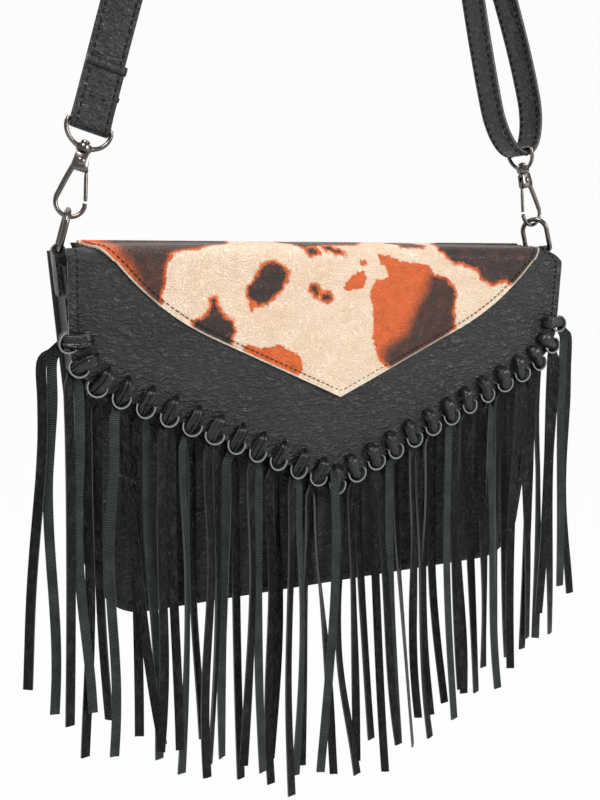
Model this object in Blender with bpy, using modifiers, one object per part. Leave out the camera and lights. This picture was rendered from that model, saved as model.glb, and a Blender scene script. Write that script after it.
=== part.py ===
# Fringed flap bag hanging from its shoulder strap, in metres, +Z up, front facing -Y.
# The origin is where the underside of the strap bears on whatever the bag hangs from.
# Everything on the bag itself is placed in the bag's own frame: x across, y towards the back,
# z = 0 at the top fold of the flap. The bag frame hangs below the origin and leans a little.

import bpy
import bmesh
from math import acos, asin, atan2, ceil, cos, hypot, pi, radians, sin, sqrt
from mathutils import Matrix, Vector

# Hanging
strap_drop = 0.430          # from the hanging point down to the fold of the flap
lean_back = radians(4.0)    # the foot of the bag swings back, because the fringe is heavy
hang_radius = 0.020         # inside bend of the strap over the hook or shoulder
gap = 0.0003                # between pieces that touch

# Bag body
body_half_width = 0.1465    # at the top, over the panel edges
body_foot_half_width = 0.129
body_height = 0.190
body_depth = 0.032
panel_thickness = 0.0015
corner_radius = 0.026
mouth_drop = 0.026          # the front panel stops this far below the fold
back_top_drop = 0.006
gusset_inset = 0.0015       # the panel edges stand this far past the gusset
gusset_thickness = 0.0014
gusset_top_drop = 0.012
lining_thickness = 0.0007

# Flap
flap_edge_inset = 0.003     # the flap is this much narrower than the body, each side
flap_tip_drop = 0.1295
flap_slope = radians(25.0)  # of the two lower edges that run down to the tip
flap_corner_radius = 0.030
flap_gap = 0.0036           # room for the magnetic snap behind the flap
backing_thickness = 0.0008
band_thickness = 0.0012
print_thickness = 0.0010
print_tip_drop = 0.0805
print_curve_radius = 0.140
print_straight = 0.080      # straight part of the print's lower edge, from its tip
fold_radius = 0.008
top_narrowing = 0.0095      # over the top the flap clears the rings by this much more
top_tuck = 0.016            # the flap's sheet runs down inside the back panel this far
top_sheet_thickness = 0.0016

# Magnetic snap
snap_drop = 0.102
snap_radius = 0.008
snap_socket_height = 0.0016
snap_stud_plate = 0.0011
snap_nub_radius = 0.0028
snap_nub_height = 0.0008
snap_recess_radius = 0.0033

# Fringe
knots_a_side = 13
end_knot_inset = 0.0016     # from the last knot's middle to the end of the flap's curved edge
slot_inset = 0.0095
strip_width = 0.0047
strip_thickness = 0.0011
tail_length = 0.177
slot_clearance = 0.00035
bight_width = 0.0064
bight_reach = 0.0042
tail_spread = 0.0026        # each tail hangs this far to one side of its knot
tail_layer_step = 0.0020
tail_ragged = 0.009         # the tails differ by this much in length
tail_right_short = 0.006     # the last strip on the right is this much shorter
short_tail_share = 0.95     # the three strips at the flap's tip are shorter
tail_settle = 0.010         # below its knot a tail hangs straight from here
tail_steps = 5
end_push = 0.0075           # the end strips hang outside the flap's side edges

# How far the foot of each tail swings to the right, in millimetres, one pair for each strip
# from the left end of the flap to the right end
sways = [
    (-12, -5), (-5, 2), (-6, 3), (-4, 16), (-3, 3), (-7, 0), (-4, 4), (-1, -6), (-3, 3),
    (-3, 3), (2, -4), (1, -3), (-4, 12), (-9, 13), (5, 11), (11, 15), (9, 15), (8, 14),
    (8, 13), (9, 11), (6, 10), (5, 12), (5, 12), (2, 8), (-1, 5), (-4, 3), (4, 10),
]

# Rings, clasps and strap
ring_wire = 0.0028
ring_width = 0.0140         # between the wire's centres, across
ring_height = 0.0200
ring_bar_drop = 0.005
ring_inset = 0.0029         # ring bar inside the edge of the body
ring_turn = {"left": radians(84.0), "right": radians(-50.0)}
tab_width = 0.0105
tab_thickness = 0.0015
tab_tongue = 0.020
hook_wire = 0.0022
hook_length = 0.0310
hook_turn = {"left": radians(-8.0), "right": radians(8.0)}
head_width = 0.0066
head_foot_width = 0.0080
head_height = 0.0086
head_thickness = 0.0042
gate_slot = 0.0020
gate_plate = 0.0014
gate_width = 0.0019
gate_top_reach = 0.0036     # the gate's bar slants out from here, to one side of the swivel axis
gate_foot_reach = 0.0067
hook_radius = 0.0069        # of the wire's middle round the foot
nose_drop = 0.0228
nose_gap = 0.0011           # the gate's foot swings past the nose
pin_radius = 0.0009
pin_drop = 0.0042
rivet_radius = 0.0019
rivet_height = 0.0008
running_gap = 0.00025
post_radius = 0.0014
post_head_radius = 0.0022
post_head_height = 0.0016
eye_wire = 0.0022
eye_width = 0.0218
eye_height = 0.0118
eye_turn = {"left": 0.0, "right": radians(90.0)}
boss_radius = 0.0037
boss_height = 0.0040
strap_width = 0.0190
strap_thickness = 0.0026
fold_back = 0.029
loop_half_width = 0.0135
slider_distance = 0.225     # from the right clasp's eye up to the slider's middle bar
slider_half_length = 0.014
slider_wire = 0.0022


# Lengths worked out from the sizes above
body_front = -body_depth / 2
body_back = body_depth / 2
flap_half_width = body_half_width - flap_edge_inset
top_half_width = flap_half_width - top_narrowing
flap_back = body_front - flap_gap
band_back = flap_back - backing_thickness - gap
print_back = band_back - band_thickness - gap
flap_front = print_back - print_thickness
flap_top = -fold_radius - gap
hinge_drop = fold_radius + gap / 2
bend_centre_radius = hang_radius + strap_thickness / 2
anchor_x = body_half_width - ring_inset
anchor_to_bend = Vector((anchor_x, strap_drop - hang_radius + ring_bar_drop))
strap_lean = atan2(anchor_to_bend.x, anchor_to_bend.y) - asin(bend_centre_radius / anchor_to_bend.length)
link_step = ring_wire / 2 + hook_wire / 2 + 2 * gap
hook_foot_at = ring_height - link_step
head_top_at = hook_foot_at + hook_length
boss_at = head_top_at + gap + boss_height / 2
eye_bar_at = boss_at + eye_height
strap_straight = sqrt(anchor_to_bend.length ** 2 - bend_centre_radius ** 2)
bag_frame = Matrix.Translation((0, 0, -strap_drop)) @ Matrix.Rotation(lean_back, 4, "X")

colours = {
    "black_leather": ((0.022, 0.022, 0.024), 0.45, 0.0),
    "cow_print": ((0.83, 0.62, 0.45), 0.42, 0.0),
    "lining_cloth": ((0.03, 0.03, 0.032), 0.8, 0.0),
    "gunmetal": ((0.16, 0.145, 0.13), 0.25, 1.0),
    "steel": ((0.45, 0.44, 0.43), 0.3, 1.0),
}


def new_collection(name):
    made = bpy.data.collections.new(name)
    bpy.context.scene.collection.children.link(made)
    return made


def material(name):
    found = bpy.data.materials.get(name)
    if found:
        return found
    colour, roughness, metallic = colours[name]
    made = bpy.data.materials.new(name)
    made.use_nodes = True
    shader = made.node_tree.nodes["Principled BSDF"]
    shader.inputs["Base Color"].default_value = (*colour, 1)
    shader.inputs["Roughness"].default_value = roughness
    shader.inputs["Metallic"].default_value = metallic
    return made


def finish(piece, finish_name, smooth=True):
    """Puts a made object in the bag's collection with its material."""
    for owner in list(piece.users_collection):
        owner.objects.unlink(piece)
    bag.objects.link(piece)
    piece.data.materials.clear()
    piece.data.materials.append(material(finish_name))
    if smooth and piece.type == "MESH":
        piece.data.shade_smooth()
        piece.data.set_sharp_from_angle(angle=radians(35))
    return piece


def on_bag(piece):
    """Hangs a piece that is placed in the bag's own frame on the bag."""
    piece.parent = bag_holder
    return piece


def new_holder(name, place, carrier=None):
    """An empty that the pieces of one moving part hang on."""
    holder = bpy.data.objects.new(name, None)
    bag.objects.link(holder)
    holder.parent = carrier
    holder.matrix_world = place
    bpy.context.view_layer.update()
    return holder


def carry(piece, holder):
    """Parents a piece to a holder without moving it."""
    bpy.context.view_layer.update()
    place = piece.matrix_world.copy()
    piece.parent = holder
    piece.matrix_world = place
    return piece


def arc(centre, radius, start, end, steps):
    """Points of a round stretch, from one angle to another."""
    return [
        Vector((centre[0] + radius * cos(start + (end - start) * k / steps),
                centre[1] + radius * sin(start + (end - start) * k / steps)))
        for k in range(steps + 1)
    ]


def flat_curve(name, loops, thickness):
    """A 2D curve whose first loop is the outline and whose other loops are holes."""
    made = bpy.data.curves.new(name, "CURVE")
    made.dimensions = "2D"
    made.fill_mode = "BOTH"
    made.extrude = thickness / 2
    for loop in loops:
        spline = made.splines.new("POLY")
        spline.points.add(len(loop) - 1)
        for point, place in zip(spline.points, loop):
            point.co = (place[0], place[1], 0, 1)
        spline.use_cyclic_u = True
    piece = bpy.data.objects.new(name, made)
    workshop.objects.link(piece)
    return piece


def as_mesh(piece, name=None):
    """Turns an object with its modifiers into a plain mesh object at the same place."""
    bpy.context.view_layer.update()
    graph = bpy.context.evaluated_depsgraph_get()
    mesh = bpy.data.meshes.new_from_object(piece.evaluated_get(graph))
    mesh.transform(piece.matrix_world)
    shape = bmesh.new()
    shape.from_mesh(mesh)
    bmesh.ops.remove_doubles(shape, verts=shape.verts, dist=0.000001)
    shape.to_mesh(mesh)
    shape.free()
    old_name = piece.name
    bpy.data.objects.remove(piece)
    made = bpy.data.objects.new(name or old_name, mesh)
    workshop.objects.link(made)
    return made


def join(base, others, operation="UNION"):
    """Booleans the others into the base, and returns one mesh object."""
    for other in others:
        change = base.modifiers.new(operation.title(), "BOOLEAN")
        change.operation = operation
        change.object = other
    made = as_mesh(base)
    for other in others:
        bpy.data.objects.remove(other)
    return made


def block(name, size, place, bevel=0.0, segments=2):
    """A box with its edges rounded, placed by a matrix."""
    bpy.ops.mesh.primitive_cube_add(size=1)
    piece = bpy.context.active_object
    piece.name = name
    piece.data.transform(Matrix.Diagonal((*size, 1)))
    piece.matrix_world = place
    if bevel:
        edge = piece.modifiers.new("Rounded edges", "BEVEL")
        edge.width = bevel
        edge.segments = segments
    return as_mesh(piece, name)


def cylinder(name, radius, depth, place, sides=24):
    """A round bar along the z axis of its matrix, centred on it."""
    bpy.ops.mesh.primitive_cylinder_add(vertices=sides, radius=radius, depth=depth)
    piece = bpy.context.active_object
    piece.name = name
    piece.matrix_world = place
    return as_mesh(piece, name)


def wire(name, points, thickness, place, closed=False, resolution=2):
    """A bent wire through points in the x and z plane of a matrix."""
    made = bpy.data.curves.new(name, "CURVE")
    made.dimensions = "3D"
    made.bevel_depth = thickness / 2
    made.bevel_resolution = resolution
    made.use_fill_caps = True
    spline = made.splines.new("POLY")
    spline.points.add(len(points) - 1)
    for point, (x, z) in zip(spline.points, points):
        point.co = (x, 0, z, 1)
    spline.use_cyclic_u = closed
    piece = bpy.data.objects.new(name, made)
    workshop.objects.link(piece)
    piece.matrix_world = place
    return as_mesh(piece, name)


def ribbon(name, stations, thickness):
    """A strip swept through (centre, half width vector) stations and thickened both ways."""
    shape = bmesh.new()
    centre, half = stations[0]
    edge = shape.edges.new([shape.verts.new(centre - half), shape.verts.new(centre + half)])
    for centre, half in stations[1:]:
        first, second = edge.verts
        grown = bmesh.ops.extrude_edge_only(shape, edges=[edge])["geom"]
        edge = next(item for item in grown if isinstance(item, bmesh.types.BMEdge))
        new_first = next(v for v in edge.verts if any(e.other_vert(v) is first for e in v.link_edges))
        new_second = edge.other_vert(new_first)
        new_first.co = centre - half
        new_second.co = centre + half
    mesh = bpy.data.meshes.new(name)
    shape.to_mesh(mesh)
    shape.free()
    piece = bpy.data.objects.new(name, mesh)
    workshop.objects.link(piece)
    wall = piece.modifiers.new("Thickness", "SOLIDIFY")
    wall.thickness = thickness
    wall.offset = 0
    wall.use_even_offset = True
    return piece


def upright(depth):
    """Stands a flat outline up in the bag's frame, with its middle at this depth."""
    return Matrix.Translation((0, depth, 0)) @ Matrix.Rotation(pi / 2, 4, "X")


def body_outline(inset, top_drop, steps=8):
    """Half of the body's tapering outline is mirrored: down one side, round the corner, along the foot."""
    slope = atan2(body_half_width - body_foot_half_width, body_height)
    top = -top_drop
    foot = -body_height + inset

    def side_x(z):
        return body_half_width + z * (body_half_width - body_foot_half_width) / body_height - inset / cos(slope)

    radius = corner_radius - inset
    turn = pi / 2 - slope
    centre_z = foot + radius
    centre_x = side_x(centre_z) - radius / cos(slope)
    corner = arc((centre_x, centre_z), radius, -slope, -slope - turn, steps)
    half = [Vector((side_x(top), top))] + corner
    return half, [Vector((-p.x, p.y)) for p in reversed(half)]


def panel(name, depth, top_drop):
    right, left = body_outline(0, top_drop)
    piece = flat_curve(name, [right + left], panel_thickness)
    piece.matrix_world = upright(depth)
    return on_bag(finish(piece, "black_leather"))


def make_gusset():
    """One long strip that runs down one side, under the foot and up the other side."""
    right, left = body_outline(gusset_inset + gusset_thickness / 2, gusset_top_drop)
    half = Vector((0, body_depth / 2 - panel_thickness - gap, 0))
    stations = [(Vector((p.x, 0, p.y)), half) for p in right + left]
    piece = finish(as_mesh(ribbon("gusset", stations, gusset_thickness)), "black_leather")
    return on_bag(piece)


def make_lining():
    """A cloth bag inside the panels, open at the mouth."""
    inset = gusset_inset + gusset_thickness + gap + lining_thickness
    right, left = body_outline(inset, mouth_drop)
    outline = right + left
    inner_half = body_depth / 2 - panel_thickness - gap - lining_thickness
    shape = bmesh.new()
    rim = [shape.verts.new((p.x, -inner_half, p.y)) for p in outline]
    face = shape.faces.new(rim)
    grown = bmesh.ops.extrude_face_region(shape, geom=[face])["geom"]
    moved = [v for v in grown if isinstance(v, bmesh.types.BMVert)]
    bmesh.ops.translate(shape, verts=moved, vec=(0, 2 * inner_half, 0))
    top = [f for f in shape.faces if all(abs(v.co.z + mouth_drop) < 1e-6 for v in f.verts)]
    bmesh.ops.delete(shape, geom=top, context="FACES_ONLY")
    bmesh.ops.recalc_face_normals(shape, faces=shape.faces)
    mesh = bpy.data.meshes.new("lining")
    shape.to_mesh(mesh)
    shape.free()
    piece = bpy.data.objects.new("lining", mesh)
    workshop.objects.link(piece)
    wall = piece.modifiers.new("Thickness", "SOLIDIFY")
    wall.thickness = lining_thickness
    wall.offset = 1
    wall.use_even_offset = True
    return on_bag(finish(as_mesh(piece), "lining_cloth"))


def edge_line():
    """The right half of the flap's lower edge, from the tip: lengths of its straight and its corner."""
    corner_x = flap_half_width
    corner_z = -flap_tip_drop + corner_x * sin(flap_slope) / cos(flap_slope)
    turn = pi / 2 - flap_slope
    tangent = flap_corner_radius * sin(turn / 2) / cos(turn / 2)
    straight = corner_x / cos(flap_slope) - tangent
    centre = (corner_x - flap_corner_radius, corner_z + tangent)
    return straight, centre, turn


def edge_point(distance):
    """Where the flap's lower edge is, and its inward direction, this far right of the tip."""
    side = -1 if distance < 0 else 1
    straight, centre, turn = edge_line()
    along = abs(distance)
    if along <= straight:
        place = Vector((along * cos(flap_slope), -flap_tip_drop + along * sin(flap_slope)))
        angle = flap_slope - pi / 2
    else:
        angle = flap_slope - pi / 2 + (along - straight) / flap_corner_radius
        angle = min(angle, 0)
        place = Vector(centre) + flap_corner_radius * Vector((cos(angle), sin(angle)))
        extra = along - straight - turn * flap_corner_radius
        place.y += max(extra, 0)
    outward = Vector((cos(angle), sin(angle)))
    if abs(distance) < 1e-9:
        return place, Vector((0, 1))
    return Vector((side * place.x, place.y)), Vector((-side * outward.x, -outward.y))


def flap_outline(steps=8):
    """The flap's flat front: straight top, short sides, round corners and two edges to the tip."""
    straight, centre, turn = edge_line()
    corner = arc(centre, flap_corner_radius, flap_slope - pi / 2, 0, steps)
    right = corner + [Vector((flap_half_width, flap_top))]
    tip = [Vector((0, -flap_tip_drop))]
    return tip + right + [Vector((-p.x, p.y)) for p in reversed(right)]


def print_outline(steps=8):
    """The print's lower edge: straight from its tip, then curving up to the fold."""
    start = Vector((print_straight * cos(flap_slope), -print_tip_drop + print_straight * sin(flap_slope)))
    centre = start + print_curve_radius * Vector((-sin(flap_slope), cos(flap_slope)))
    first = flap_slope - pi / 2
    last = asin((flap_top - centre.y) / print_curve_radius)
    curve = arc(centre, print_curve_radius, first, last, steps)
    tip = [Vector((0, -print_tip_drop))]
    return tip + curve + [Vector((-p.x, p.y)) for p in reversed(curve)]


def knot_distances():
    """Evenly along the flap's lower edge, from one end of its curve to the other."""
    straight, _, turn = edge_line()
    knot_pitch = (straight + turn * flap_corner_radius - end_knot_inset) / knots_a_side
    return [k * knot_pitch for k in range(-knots_a_side, knots_a_side + 1)]


def slot_loops():
    """One slot for each strip, along the flap's lower edge."""
    loops = []
    half_long = strip_width / 2 + slot_clearance
    half_high = strip_thickness + slot_clearance
    for distance in knot_distances():
        edge, inward = edge_point(distance)
        along = Vector((inward.y, -inward.x))
        centre = edge + inward * slot_inset
        loops.append([
            centre + along * half_long * a + inward * half_high * b
            for a, b in ((-1, -1), (1, -1), (1, 1), (-1, 1))
        ])
    return loops


def flap_ply(name, back, thickness, finish_name, outline, holes):
    piece = flat_curve(name, [outline] + holes, thickness)
    piece.matrix_world = upright(back - thickness / 2)
    return carry(on_bag(finish(piece, finish_name)), flap_holder)


def make_flap_top():
    """The printed sheet where it leaves the back seam, crosses the top and turns down in front."""
    inner = fold_radius - top_sheet_thickness
    back_outer = body_back - panel_thickness - gap
    front = arc((flap_front + fold_radius, -fold_radius), fold_radius, pi, pi / 2, 6)
    rear = arc((back_outer - fold_radius, -fold_radius), fold_radius, pi / 2, 0, 6)
    outer = front + rear + [Vector((back_outer, -fold_radius - top_tuck))]
    front_in = arc((flap_front + fold_radius, -fold_radius), inner, pi, pi / 2, 6)
    rear_in = arc((back_outer - fold_radius, -fold_radius), inner, pi / 2, 0, 6)
    inside = front_in + rear_in + [Vector((back_outer - top_sheet_thickness, -fold_radius - top_tuck))]
    piece = flat_curve("flap_top", [outer + inside[::-1]], 2 * top_half_width)
    piece.matrix_world = Matrix.Rotation(pi / 2, 4, "Z") @ Matrix.Rotation(pi / 2, 4, "X")
    return on_bag(finish(piece, "cow_print"))


def make_snap():
    """The two halves of the magnetic snap, with a nub that drops into a recess."""
    face_y = Matrix.Rotation(pi / 2, 4, "X")
    socket_y = body_front - gap - snap_socket_height / 2
    place = Matrix.Translation((0, socket_y, -snap_drop)) @ face_y
    socket = cylinder("snap_socket", snap_radius, snap_socket_height, place, 32)
    recess_depth = snap_nub_height + gap
    cut_y = body_front - gap - snap_socket_height + recess_depth / 2
    cut_place = Matrix.Translation((0, cut_y - gap, -snap_drop)) @ face_y
    cutter = cylinder("snap_recess", snap_recess_radius, recess_depth + 2 * gap, cut_place, 24)
    on_bag(finish(join(socket, [cutter], "DIFFERENCE"), "steel"))
    plate_y = flap_back + gap + snap_stud_plate / 2
    stud = cylinder("snap_stud", snap_radius, snap_stud_plate,
                    Matrix.Translation((0, plate_y, -snap_drop)) @ face_y, 32)
    nub_y = plate_y + snap_nub_height / 2
    nub = cylinder("snap_nub", snap_nub_radius, snap_stud_plate + snap_nub_height,
                   Matrix.Translation((0, nub_y, -snap_drop)) @ face_y, 24)
    carry(on_bag(finish(join(stud, [nub]), "steel")), flap_holder)


def rounded_box(low, high, radius, steps=2):
    """A rectangle with round corners, as points."""
    (x0, y0), (x1, y1) = low, high
    corners = ((x1 - radius, y1 - radius, 0), (x0 + radius, y1 - radius, pi / 2),
               (x0 + radius, y0 + radius, pi), (x1 - radius, y0 + radius, 1.5 * pi))
    points = []
    for x, y, start in corners:
        points += arc((x, y), radius, start, start + pi / 2, steps)
    return points


def tail_path(start, layer_y, settled_x, sway, length):
    """Where a tail's middle runs: out of the knot, then down with a slow sideways swing."""
    half = Vector((strip_width / 2, 0, 0))
    path = [(start, half)]
    middle = Vector(((start.x + settled_x) / 2, (start.y + layer_y) / 2, start.z - tail_settle / 2))
    path.append((middle, half))
    for k in range(tail_steps + 1):
        share = k / tail_steps
        drop = tail_settle + (length - tail_settle) * share
        path.append((Vector((settled_x + sway * share ** 1.6, layer_y, start.z - drop)), half))
    return path


def make_strip(number, distance, sway_pair):
    """One strip of the fringe: doubled through its slot, its bight round both tails, and the tails."""
    name = f"fringe_{number:02d}"
    edge, inward = edge_point(distance)
    slot = edge + inward * slot_inset
    down = Vector((-inward.x, 0, -inward.y))
    depth = Vector((0, 1, 0))
    across = down.cross(depth)
    doubled = 2 * strip_thickness
    front = band_back - band_thickness - slot_clearance
    back = flap_back + slot_clearance
    foot = slot_inset + slot_clearance
    outer = rounded_box((-doubled / 2, front - doubled), (foot + doubled, back + doubled), strip_thickness)
    hole = [(doubled / 2, front), (foot, front), (foot, back), (doubled / 2, back)]
    saddle = flat_curve(name, [outer, hole], strip_width)
    turn = Matrix((down, depth, across)).transposed().to_4x4()
    place = bag_frame @ Matrix.Translation((slot.x, 0, slot.y)) @ turn
    saddle.matrix_world = place
    saddle = as_mesh(saddle, name)
    bight_middle = (front + back) / 2
    bight_size = (bight_reach, back - front + 2 * doubled + gap, bight_width)
    bight_at = foot + bight_reach / 2 + gap
    bight_place = place @ Matrix.Translation((bight_at, bight_middle, 0))
    bight = block("bight", bight_size, bight_place, bevel=0.0009, segments=1)
    start = bag_frame @ (Vector((slot.x, bight_middle, slot.y)) + down * bight_at)
    tip_distance = abs(number - knots_a_side - 1)
    push = end_push * (start.x > 0) - end_push * (start.x < 0) if tip_distance == knots_a_side else 0
    share = short_tail_share if tip_distance < 2 else 1
    tails = []
    for which, sway in enumerate(sway_pair):
        layer = start.y + (2 * (number % 2) + which - 1.5) * tail_layer_step
        settled_x = start.x + push + tail_spread * (2 * which - 1)
        length = tail_length * share + tail_ragged * sin(2.4 * (2 * number + which))
        length -= tail_right_short * max(0, number - knots_a_side - 1) / knots_a_side
        path = tail_path(start, layer, settled_x, sway / 1000, length)
        tails.append(as_mesh(ribbon(f"tail_{which}", path, strip_thickness)))
    return carry(finish(join(saddle, [bight] + tails), "black_leather"), flap_holder)


def hang_line(side):
    """The frame of a clasp: origin on the ring's bar, z up the strap, x outwards in the strap's plane."""
    sign = -1 if side == "left" else 1
    anchor = bag_frame @ Vector((sign * anchor_x, 0, -ring_bar_drop))
    return Matrix.Translation(anchor) @ Matrix.Rotation(-sign * strap_lean, 4, "Y")


def on_line(side, distance, turn=0.0):
    return hang_line(side) @ Matrix.Translation((0, 0, distance)) @ Matrix.Rotation(turn, 4, "Z")


def make_ring(side):
    """The metal ring: a straight bar held by the tab, and a round top that carries the hook."""
    half = ring_width / 2
    crown = arc((0, ring_height - half), half, 0, pi, 10)
    corner = ring_wire * 0.7
    low_right = arc((half - corner, corner), corner, -pi / 2, 0, 2)
    low_left = arc((-half + corner, corner), corner, pi, 1.5 * pi, 2)
    points = low_right + crown + low_left
    piece = wire(f"{side}_ring", points, ring_wire, on_line(side, 0, ring_turn[side]), closed=True)
    return finish(piece, "gunmetal")


def make_tab(side):
    """A leather tab folded round the ring's bar and stitched down the outside of the gusset."""
    sign = -1 if side == "left" else 1
    inside = ring_wire / 2 + gap
    outside = inside + tab_thickness
    loops = [arc((0, 0), outside, 0, 2 * pi, 16)[:-1], arc((0, 0), inside, 0, 2 * pi, 16)[:-1]]
    loop = flat_curve(f"{side}_tab", loops, tab_width)
    # The loop's axis lies along the ring's bar
    loop.matrix_world = on_line(side, 0, ring_turn[side]) @ Matrix.Rotation(pi / 2, 4, "Y")
    loop = as_mesh(loop, f"{side}_tab")
    top = -ring_bar_drop - inside
    middle = top - tab_tongue / 2
    slope = atan2(body_half_width - body_foot_half_width, body_height)
    gusset_face = body_half_width + middle * sin(slope) / cos(slope) - gusset_inset / cos(slope)
    tongue_x = sign * (gusset_face + (gap + tab_thickness / 2) / cos(slope))
    place = bag_frame @ Matrix.Translation((tongue_x, 0, middle))
    place = place @ Matrix.Rotation(sign * slope, 4, "Y")
    tongue = block("tongue", (tab_thickness, tab_width, tab_tongue), place)
    return finish(join(loop, [tongue]), "black_leather")


def make_eye(side):
    """The clasp's eye: the strap's bar, a round wire below it and the boss that the post turns in."""
    half = eye_width / 2
    points = [(-half * 0.9, 0.0), (half * 0.9, 0.0), (half, -eye_wire * 0.6)]
    steps = 12
    for k in range(steps + 1):
        angle = pi * k / steps
        points.append((half * cos(angle), -eye_wire - (eye_height - eye_wire) * sin(angle)))
    points.append((-half, -eye_wire * 0.6))
    frame = on_line(side, eye_bar_at, eye_turn[side])
    ring = wire(f"{side}_eye", points, eye_wire, frame, closed=True)
    boss = cylinder("boss", boss_radius, boss_height, on_line(side, boss_at), 20)
    made = join(ring, [boss])
    bore = cylinder("bore", post_radius + running_gap, 2 * boss_height, on_line(side, boss_at), 20)
    return finish(join(made, [bore], "DIFFERENCE"), "gunmetal")


def hook_points(inner):
    """The hook's wire in its head's frame: down the back, round the foot and up to the nose."""
    centre_z = hook_radius - hook_length
    points = [(-inner * (head_foot_width / 2 - hook_wire / 2), -head_height + hook_wire)]
    first = radians(163)
    steps = 14
    for k in range(steps + 1):
        angle = first + (2 * pi - first) * k / steps
        points.append((inner * hook_radius * cos(angle), centre_z + hook_radius * sin(angle)))
    points.append((inner * gate_foot_reach, -nose_drop))
    return points


def make_hook(side):
    """The cast hook: a slotted head, the wire that goes round the ring, and the post that turns in the eye."""
    inner = 1 if side == "left" else -1
    frame = on_line(side, head_top_at, hook_turn[side])
    outline = [(-head_width / 2, 0), (head_width / 2, 0),
               (head_foot_width / 2 + 0.0004, -head_height), (-head_foot_width / 2, -head_height)]
    head = flat_curve(f"{side}_hook", [[(inner * x, z) for x, z in outline]], head_thickness)
    head.matrix_world = frame @ Matrix.Rotation(pi / 2, 4, "X")
    head = as_mesh(head, f"{side}_hook")
    bent = wire("bent", hook_points(inner), hook_wire, frame)
    post_top = gap + boss_height + gap + post_head_height
    post = cylinder("post", post_radius, post_top + 0.002,
                    frame @ Matrix.Translation((0, 0, post_top / 2 - 0.001)), 20)
    cap = cylinder("cap", post_head_radius, post_head_height,
                   frame @ Matrix.Translation((0, 0, post_top - post_head_height / 2)), 20)
    made = join(head, [bent, post, cap])
    slot_height = head_height
    slot_width = head_width
    slot = block("slot", (slot_width, gate_slot, slot_height),
                 frame @ Matrix.Translation((inner * slot_width * 0.2, 0, -slot_height / 2 - 0.0022)))
    hole = cylinder("pin_hole", pin_radius + gap / 2, head_thickness * 2,
                    frame @ Matrix.Translation((0, 0, -pin_drop)) @ Matrix.Rotation(pi / 2, 4, "X"), 16)
    return carry(finish(join(made, [slot, hole], "DIFFERENCE"), "gunmetal"), hook_holders[side])


def make_gate(side):
    """The sprung gate: a drilled lug in the head's slot and a bar down to the hook's nose."""
    inner = 1 if side == "left" else -1
    frame = on_line(side, head_top_at, hook_turn[side])
    lug_radius = 0.0016
    foot = nose_gap - nose_drop
    half = gate_width / 2
    knee = -pin_drop - 0.0036
    outline = arc((0, -pin_drop), lug_radius, pi / 2, 1.5 * pi, 6)
    outline += [Vector((gate_top_reach - half - 0.0008, knee + 0.0008)), Vector((gate_top_reach - half, knee)),
                Vector((gate_foot_reach - half, foot)), Vector((gate_foot_reach + half, foot)),
                Vector((gate_top_reach + half, knee)), Vector((gate_top_reach + half - 0.0010, knee + 0.0028))]
    loops = [[(inner * p.x, p.y) for p in outline],
             [(inner * p.x, p.y) for p in arc((0, -pin_drop), pin_radius + gap / 2, 0, 2 * pi, 12)[:-1]]]
    piece = flat_curve(f"{side}_gate", loops, gate_plate)
    piece.matrix_world = frame @ Matrix.Rotation(pi / 2, 4, "X")
    return carry(finish(as_mesh(piece, f"{side}_gate"), "gunmetal"), gate_holders[side])


def make_pin(side):
    """The rivet that the gate turns on, with a domed head on each face."""
    frame = on_line(side, head_top_at, hook_turn[side])
    turned = frame @ Matrix.Translation((0, 0, -pin_drop)) @ Matrix.Rotation(pi / 2, 4, "X")
    half = head_thickness / 2 + gap / 2
    shaft = cylinder(f"{side}_gate_pin", pin_radius, 2 * half + rivet_height, turned, 16)
    caps = [
        cylinder("cap", rivet_radius, rivet_height,
                 turned @ Matrix.Translation((0, 0, way * (half + rivet_height / 2))), 16)
        for way in (-1, 1)
    ]
    return carry(finish(join(shaft, caps), "gunmetal"), hook_holders[side])


def eased(share):
    share = max(0.0, min(1.0, share))
    return share * share * (3 - 2 * share)


def left_stations():
    """The strap from its stitched end on the left clasp's bar up to the bend at the top."""
    frame = on_line("left", eye_bar_at)
    wrap = eye_wire / 2 + gap + strap_thickness / 2
    leg = strap_thickness / 2 + gap
    path = [(fold_back, -leg), (fold_back / 2, -leg), (wrap * 2.2, -leg), (wrap * 1.2, -wrap * 0.8)]
    path += [(-wrap * sin(pi * k / 8), -wrap * cos(pi * k / 8)) for k in range(9)]
    path += [(wrap * 1.2, wrap * 0.8), (wrap * 2.2, leg), (fold_back / 2, leg), (fold_back * 1.1, leg)]
    total = strap_straight - eye_bar_at
    steps = 26
    stations = [(frame @ Vector((0, y, z)), 0.0) for z, y in path]
    for k in range(1, steps + 1):
        share = k / steps
        height = fold_back * 1.1 + (total - fold_back * 1.1) * share
        offset = leg * (1 - eased(share * 4))
        stations.append((frame @ Vector((0, offset, height)), -pi / 2 * eased(share)))
    turned = frame.to_3x3()
    return [(place, turned @ Vector((cos(angle), sin(angle), 0))) for place, angle in stations]


def bend_stations():
    """Over the top, with the strap lying flat on what carries it."""
    steps = 14
    centre = Vector((0, 0, -hang_radius))
    spot = []
    for k in range(1, steps):
        angle = pi - strap_lean - (pi - 2 * strap_lean) * k / steps
        spot.append((centre + bend_centre_radius * Vector((cos(angle), 0, sin(angle))), Vector((0, -1, 0))))
    return spot


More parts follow.
